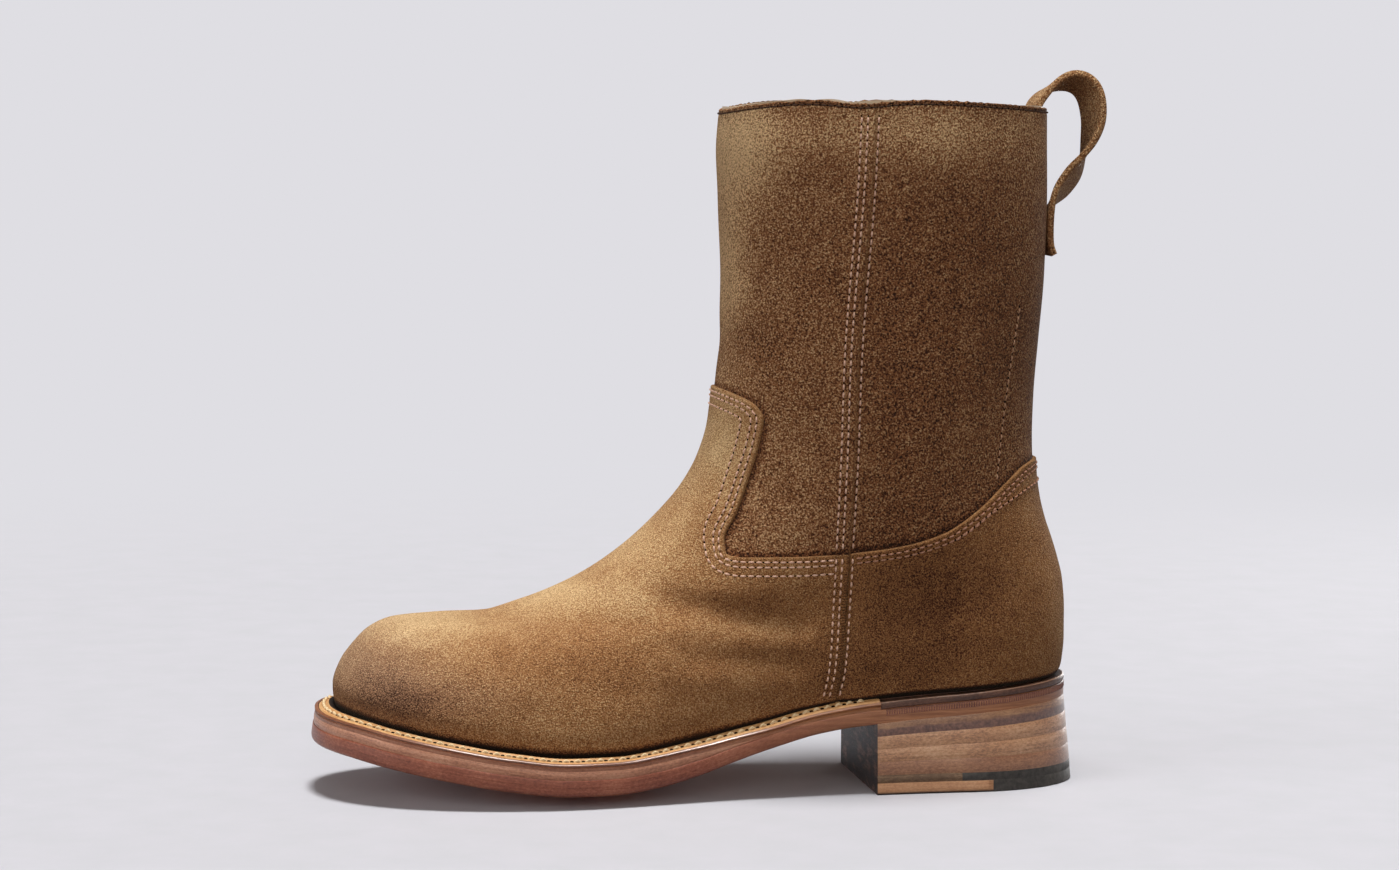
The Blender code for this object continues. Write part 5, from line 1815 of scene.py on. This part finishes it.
def make_wheel_marks():
    turn = angle_of(WELT_JOINT + BAND_CLEAR)
    span = sole_edge(np.array([turn, math.pi]), 0.0)[2]
    ticks = int(2 * (span[1] - span[0]) / TICK_PITCH)
    half = np.linspace(span[0], 2 * span[1] - span[0], ticks * TICK_COLUMNS + 1)
    along = np.where(half > span[1], 2 * span[1] - half, half)
    angles = np.interp(along, EDGE[4][PLAN_HALF:], PLAN_TURN[PLAN_HALF:]) * np.where(half > span[1], -1, 1)
    wave = 0.5 + 0.5 * np.cos(2 * math.pi * np.arange(len(half)) / TICK_COLUMNS)
    rows, places = [], []
    for share, proud in BAND_PROFILE:
        out = proud - TICK_DEPTH * wave * (TICKS_START < share < TICKS_END)
        x, y, _ = sole_edge(angles, out)
        low, high = outsole_under(x, y), outsole_top(x, y)
        z = low + (BAND_LOW + share * (BAND_HIGH - BAND_LOW)) * (high - low)
        rows.append(stacked(x, y, z))
        places.append(stacked(half, out, share * BAND_TALL))
    faces = skin(len(rows), len(half), True, False)
    ends = [[k * len(half) + column for k in range(len(rows))] for column in (0, len(half) - 1)]
    faces = faces.tolist() + ends
    piece = make_piece("wheel_mark_band", np.concatenate(rows), faces, [marked_finish()], "sole_edge")
    note(piece, "edge_place", np.concatenate(places) * MM)


make_wheel_marks()

# %% [markdown]
# ## Welt stitches
# The welt's stitches lie in their channel, longer and thicker than those of the upper, with a round
# awl hole between each two. The same helper sews them, on a line that leans with the channel.

# %% Welt stitches
WELT_ROW, WELT_ROW_HEIGHT, WELT_ROW_TILT, WELT_ROW_SHORT = -3.5, 3.62, 0.6, 4


def welt_row():
    angles = WELT_REACH[WELT_ROW_SHORT:-WELT_ROW_SHORT]
    x, y, _ = sole_edge(angles, WELT_ROW)
    z = welt_bed(x, y) + WELT_ROW_HEIGHT
    out_x, out_y, _ = sole_edge(angles, WELT_ROW + 1.0)
    tilt_x, tilt_y = WELT_ROW_TILT * (out_x - x), WELT_ROW_TILT * (out_y - y)
    slope = welt_bed(x + 0.5, y) - welt_bed(x - 0.5, y)
    up = stacked(tilt_x - slope, tilt_y, 1)
    return stacked(leaned(x, y, z), y, z), up / np.linalg.norm(up, axis=1, keepdims=True)


sew("welt_stitches", [welt_row()], welt_thread, "natural_welt", pitch=4.5, length=2.9, thick=1.3, rise=0.8,
    sink=0.2, hole=0.8)

# %% [markdown]
# ## The stacked heel
# Four wedge-shaped lifts bring the heel seat's slope down to level. Boxes cut by a boolean could stand
# for them, but the heel flares all round. So a layer is rings of points that grow towards the floor.

# %% Heel layers
HEEL_SIDE_FLARE, HEEL_BACK_FLARE, BREAST_SLANT = 0.6, 2.6, 0.06
TOP_PIECE_THICK, TOP_LAYER_THICK = 4.6, 2.8
HEEL_SEAT = TOP_PIECE_THICK + TOP_LAYER_THICK + 2 * GAP
HEEL_POINTS, LIFT_FLARE = 150, 0.8


def heel_ring(flare, start, stop, out):
    """Plan of the heel from a station back: along the outer side, round the back, along the inner.
    A layer that stops short of the back runs straight across there."""
    section = dict(PLAN)
    section["front_x"] -= HEEL_SIDE_FLARE * flare
    section["back_x"] += (HEEL_SIDE_FLARE + HEEL_BACK_FLARE) * flare + out
    length = section["back_x"] - section["front_x"]
    first = math.acos(1 - 2 * (start - section["front_x"]) / length)
    last = math.pi if stop is None else math.acos(1 - 2 * (stop - section["front_x"]) / length)
    outer = np.linspace(first, last, HEEL_POINTS // 2, endpoint=stop is not None)
    angles = np.concatenate([outer, 2 * math.pi - outer[::-1]])
    x, y = plan_ring(section, angles)
    ends = rounding(section["back_x"] - x, section["back_round"], BACK_POWER)
    y = y + np.where(np.sin(angles) >= 0, -1, 1) * (HEEL_SIDE_FLARE * flare + out) * ends
    slant = BREAST_SLANT * np.clip((section["back_x"] - x) / (section["back_x"] - BREAST_STATION), 0, 1)
    along = np.concatenate([[0], np.cumsum(np.hypot(np.diff(x), np.diff(y)))])
    return x - slant * y, y, along


def heel_layer(name, rows, finish, slot, node=(), front_finish=None):
    """A closed layer. Each row has its flare, its first and last station, its place outside, its
    height and its share of the layer's height."""
    points, places = [], []
    for flare, start, stop, out, height, share in rows:
        x, y, along = heel_ring(flare, start, stop, out)
        z = height(x)
        points.append(stacked(x, y, z))
        places.append(stacked(along, share / MM, z))
    count = HEEL_POINTS
    faces = skin(len(rows), count)
    index = [int(column == count - 1) for _ in range(len(rows) - 1) for column in range(count)]
    low, high = rung_faces(0, count, 0, 0), rung_faces((len(rows) - 1) * count, count, 0, 0)
    index += [0] * (len(low) + len(high))
    points, faces = np.concatenate(points), np.concatenate([faces, low, high])
    piece = make_piece(name, points, faces, [finish, front_finish or finish], slot, node, index)
    note(piece, "edge_place", np.concatenate(places) * MM)


print("heel seat of the top piece:", round(HEEL_SEAT, 1), "mm above the floor")

# %% [markdown]
# ## Lifts
# Each lift takes its share of the wedge between the sole and the top piece. One block with painted lines
# would look flat, so each is a layer of its own. Its edges are eased by a hair, and the joints show.

# %% Lifts
LIFT_SHARES = (0.0, 0.25, 0.50, 0.75, 1.0)
LIFT_ROWS = ((1.0, -0.05), (0.975, 0.0), (0.5, 0.02), (0.025, 0.0), (0.0, -0.05))
LIFT_FINISHES = [band_leather, lift_leather, lift_leather, low_lift_leather]


def lift_height(share):
    """Height of a lift's face that lies at a share of the way from the sole to the top piece."""
    return lambda x: (1 - share) * sole_level(x, 0 * x) + share * HEEL_SEAT


for number, (top_share, low_share) in enumerate(zip(LIFT_SHARES, LIFT_SHARES[1:]), 1):
    layer_rows = []
    for part, out in LIFT_ROWS:
        share = top_share + part * (low_share - top_share)
        layer_rows.append((LIFT_FLARE * share, BREAST_STATION, None, out, lift_height(share), 1 - part))
    heel_layer(f"lift_{number}", layer_rows, LIFT_FINISHES[number - 1], "heel_leather",
               [f"heel_lift_{number}"], breast_leather)

# %% [markdown]
# ## The top piece
# Under the lifts lie a thin board, a leather front and a rubber back that steps over the leather. All
# four pieces are level layers from the same helper, with their lower corners taken off.

# %% Top piece
RUBBER_LOWER, RUBBER_UPPER = 268.7, 255.7
LEATHER_CORNER, RUBBER_CORNER, STEP_CORNER = 0.6, 0.45, 0.06
LAYER_LOW = TOP_PIECE_THICK + GAP / 2
FLARE_LOST, SIDE_IN, TOP_IN, TOP_EASED = 0.25, 0.02, 0.08, 0.1


def level_at(height):
    return lambda x: height + 0 * x


def flat_rows(low, high, start, stop, corner):
    """Rows of a level layer, with its lower corner taken off."""
    flare_low, flare_high = (1 - LIFT_FLARE * z / HEEL_SEAT * FLARE_LOST for z in (low, high))
    return [(flare_low, start, stop, -corner, level_at(low), 0.0),
            (flare_low, start, stop, -SIDE_IN, level_at(low + corner), 0.1),
            (flare_high, start, stop, 0.0, level_at(high - TOP_EASED), 0.9),
            (flare_high, start, stop, -TOP_IN, level_at(high), 1.0)]


leather_rows = flat_rows(0.0, LAYER_LOW, BREAST_STATION, RUBBER_LOWER, LEATHER_CORNER)
board_rows = flat_rows(LAYER_LOW, HEEL_SEAT, BREAST_STATION, RUBBER_UPPER, STEP_CORNER)
rubber_rows = flat_rows(0.0, LAYER_LOW, RUBBER_LOWER, None, RUBBER_CORNER)
step_rows = flat_rows(LAYER_LOW, HEEL_SEAT, RUBBER_UPPER, None, STEP_CORNER)
heel_layer("top_leather_front", leather_rows, top_leather, "top_leather", ["top_piece_leather"],
           breast_leather)
heel_layer("top_layer_board", board_rows, layer_board, "top_layer", ["top_piece_layer"], breast_leather)
heel_layer("rubber_back", rubber_rows, back_rubber, "rubber", ["top_piece_rubber"])
heel_layer("rubber_step", step_rows, back_rubber, "rubber")

# %% [markdown]
# ## The pull loop
# A suede strap is sewn inside the collar, arches over the back and is sewn down by its tail. A cloth
# simulation could bend it, but hardly into the photo's twist. So its course is a short table.

# %% Course of the strap
STRAP_WIDTH, STRAP_THICK, STRAP_CORNER, STRAP_STEPS = 18.0, 2.7, 0.8, 170
SECTION_POINTS, SECTION_START, SMOOTHED_OVER = 32, 1e-3, 9
# The tone column is partly the nap's own tone and partly painted light and shade along the strap.
STRAP_COURSE = table("x z twist tone", [
    (288.6, 240.0, 0, 0.6), (288.7, 254.0, 0, 0.7), (288.9, 266.0, 3, 0.95), (290.6, 272.2, 3, 1.0),
    (294.9, 276.9, -2, 0.95), (300.0, 280.3, -13, 0.62), (305.6, 281.7, -22, 0.53), (310.6, 279.8, -24, 0.58),
    (314.0, 273.8, -21, 0.72), (314.8, 266.5, -16, 0.86), (313.2, 258.2, -5, 0.86), (310.2, 250.4, 14, 0.74),
    (306.2, 243.6, 28, 0.76), (302.0, 238.0, 26, 0.7), (297.6, 231.6, 8, 0.55), (295.9, 222.0, 0, 0.45),
    (296.1, 215.2, 0, 0.45), (298.0, 211.4, 0, 0.5)])


def strap_section():
    """A rounded strap: width across, thickness up, as a ring of points."""
    corners = []
    for turn in np.linspace(0, 2 * math.pi, SECTION_POINTS, endpoint=False) + SECTION_START:
        across = math.copysign(STRAP_WIDTH / 2 - STRAP_CORNER, math.cos(turn)) + STRAP_CORNER * math.cos(turn)
        up = math.copysign(STRAP_THICK / 2 - STRAP_CORNER, math.sin(turn)) + STRAP_CORNER * math.sin(turn)
        corners.append((across, up))
    return np.array(corners)


def strap_course():
    """Places, twist and tone at even steps along the strap."""
    line = stacked(STRAP_COURSE["x"], STRAP_COURSE["z"])
    places = along_line(line)
    at = np.linspace(0, places[-1], STRAP_STEPS)
    x, z, twist, tone = (smooth(places, STRAP_COURSE[name], at) for name in STRAP_COURSE)
    soft = np.ones(SMOOTHED_OVER) / SMOOTHED_OVER
    x, z, twist = (np.convolve(np.pad(v, SMOOTHED_OVER // 2, "edge"), soft, "valid") for v in (x, z, twist))
    return x, z, twist, tone


strap_length = along_line(np.stack(strap_course()[:2], axis=-1))[-1]
print("the strap is", round(float(strap_length)), "mm long")

# %% [markdown]
# ## Sweeping the strap
# At each step the strap's section is turned square to the course, and then by the twist. A bevelled
# curve would do the same, but here each face's tone can be stored: painted shade inside, pale at the cut
# edges.

# %% Pull loop
STRAP_EDGE_TONE, PAINTED_INNER_SHADE, EDGE_LIGHT, STRAP_CUT = 0.7, 0.12, 0.12, 0.25


def make_pull_loop():
    x, z, twist, tone = strap_course()
    along = stacked(np.gradient(x), np.gradient(z))
    along /= np.linalg.norm(along, axis=1, keepdims=True)
    section = strap_section()
    rings = []
    for k in range(STRAP_STEPS):
        turn = math.radians(twist[k])
        normal = np.array([-along[k, 1], 0.0, along[k, 0]])
        side = np.array([0.0, 1.0, 0.0])
        across = math.cos(turn) * side + math.sin(turn) * normal
        face = math.cos(turn) * normal - math.sin(turn) * side
        middle = np.array([x[k], 0.0, z[k]])
        rings.append(middle + section[:, :1] * across + section[:, 1:] * face)
    rings = np.array(rings)
    count = rings.shape[1]
    faces = skin(STRAP_STEPS, count).tolist()
    faces += [list(range(count)), list(range((STRAP_STEPS - 1) * count, STRAP_STEPS * count))]
    piece = make_piece("pull_strap", rings.reshape(-1, 3), faces, [shaft_suede], "suede", ["pull_loop"],
                       sharp_deg=60)
    edge = np.abs(section[:, 0]) > STRAP_WIDTH / 2 - STRAP_CORNER
    # Painted shade on the strap's inner face.
    faces_tone = tone[:, None] - PAINTED_INNER_SHADE * (section[:, 1] < 0)
    edges_tone = np.minimum(faces_tone + EDGE_LIGHT, STRAP_EDGE_TONE)
    note(piece, "tone", np.where(edge, edges_tone, faces_tone).ravel())
    note(piece, "cut", np.tile(np.where(edge, STRAP_CUT, 0.0), STRAP_STEPS))


make_pull_loop()

# %% [markdown]

# %% [markdown]
# ## Done
# All pieces ride on the boot's one body, so the frame can be closed.
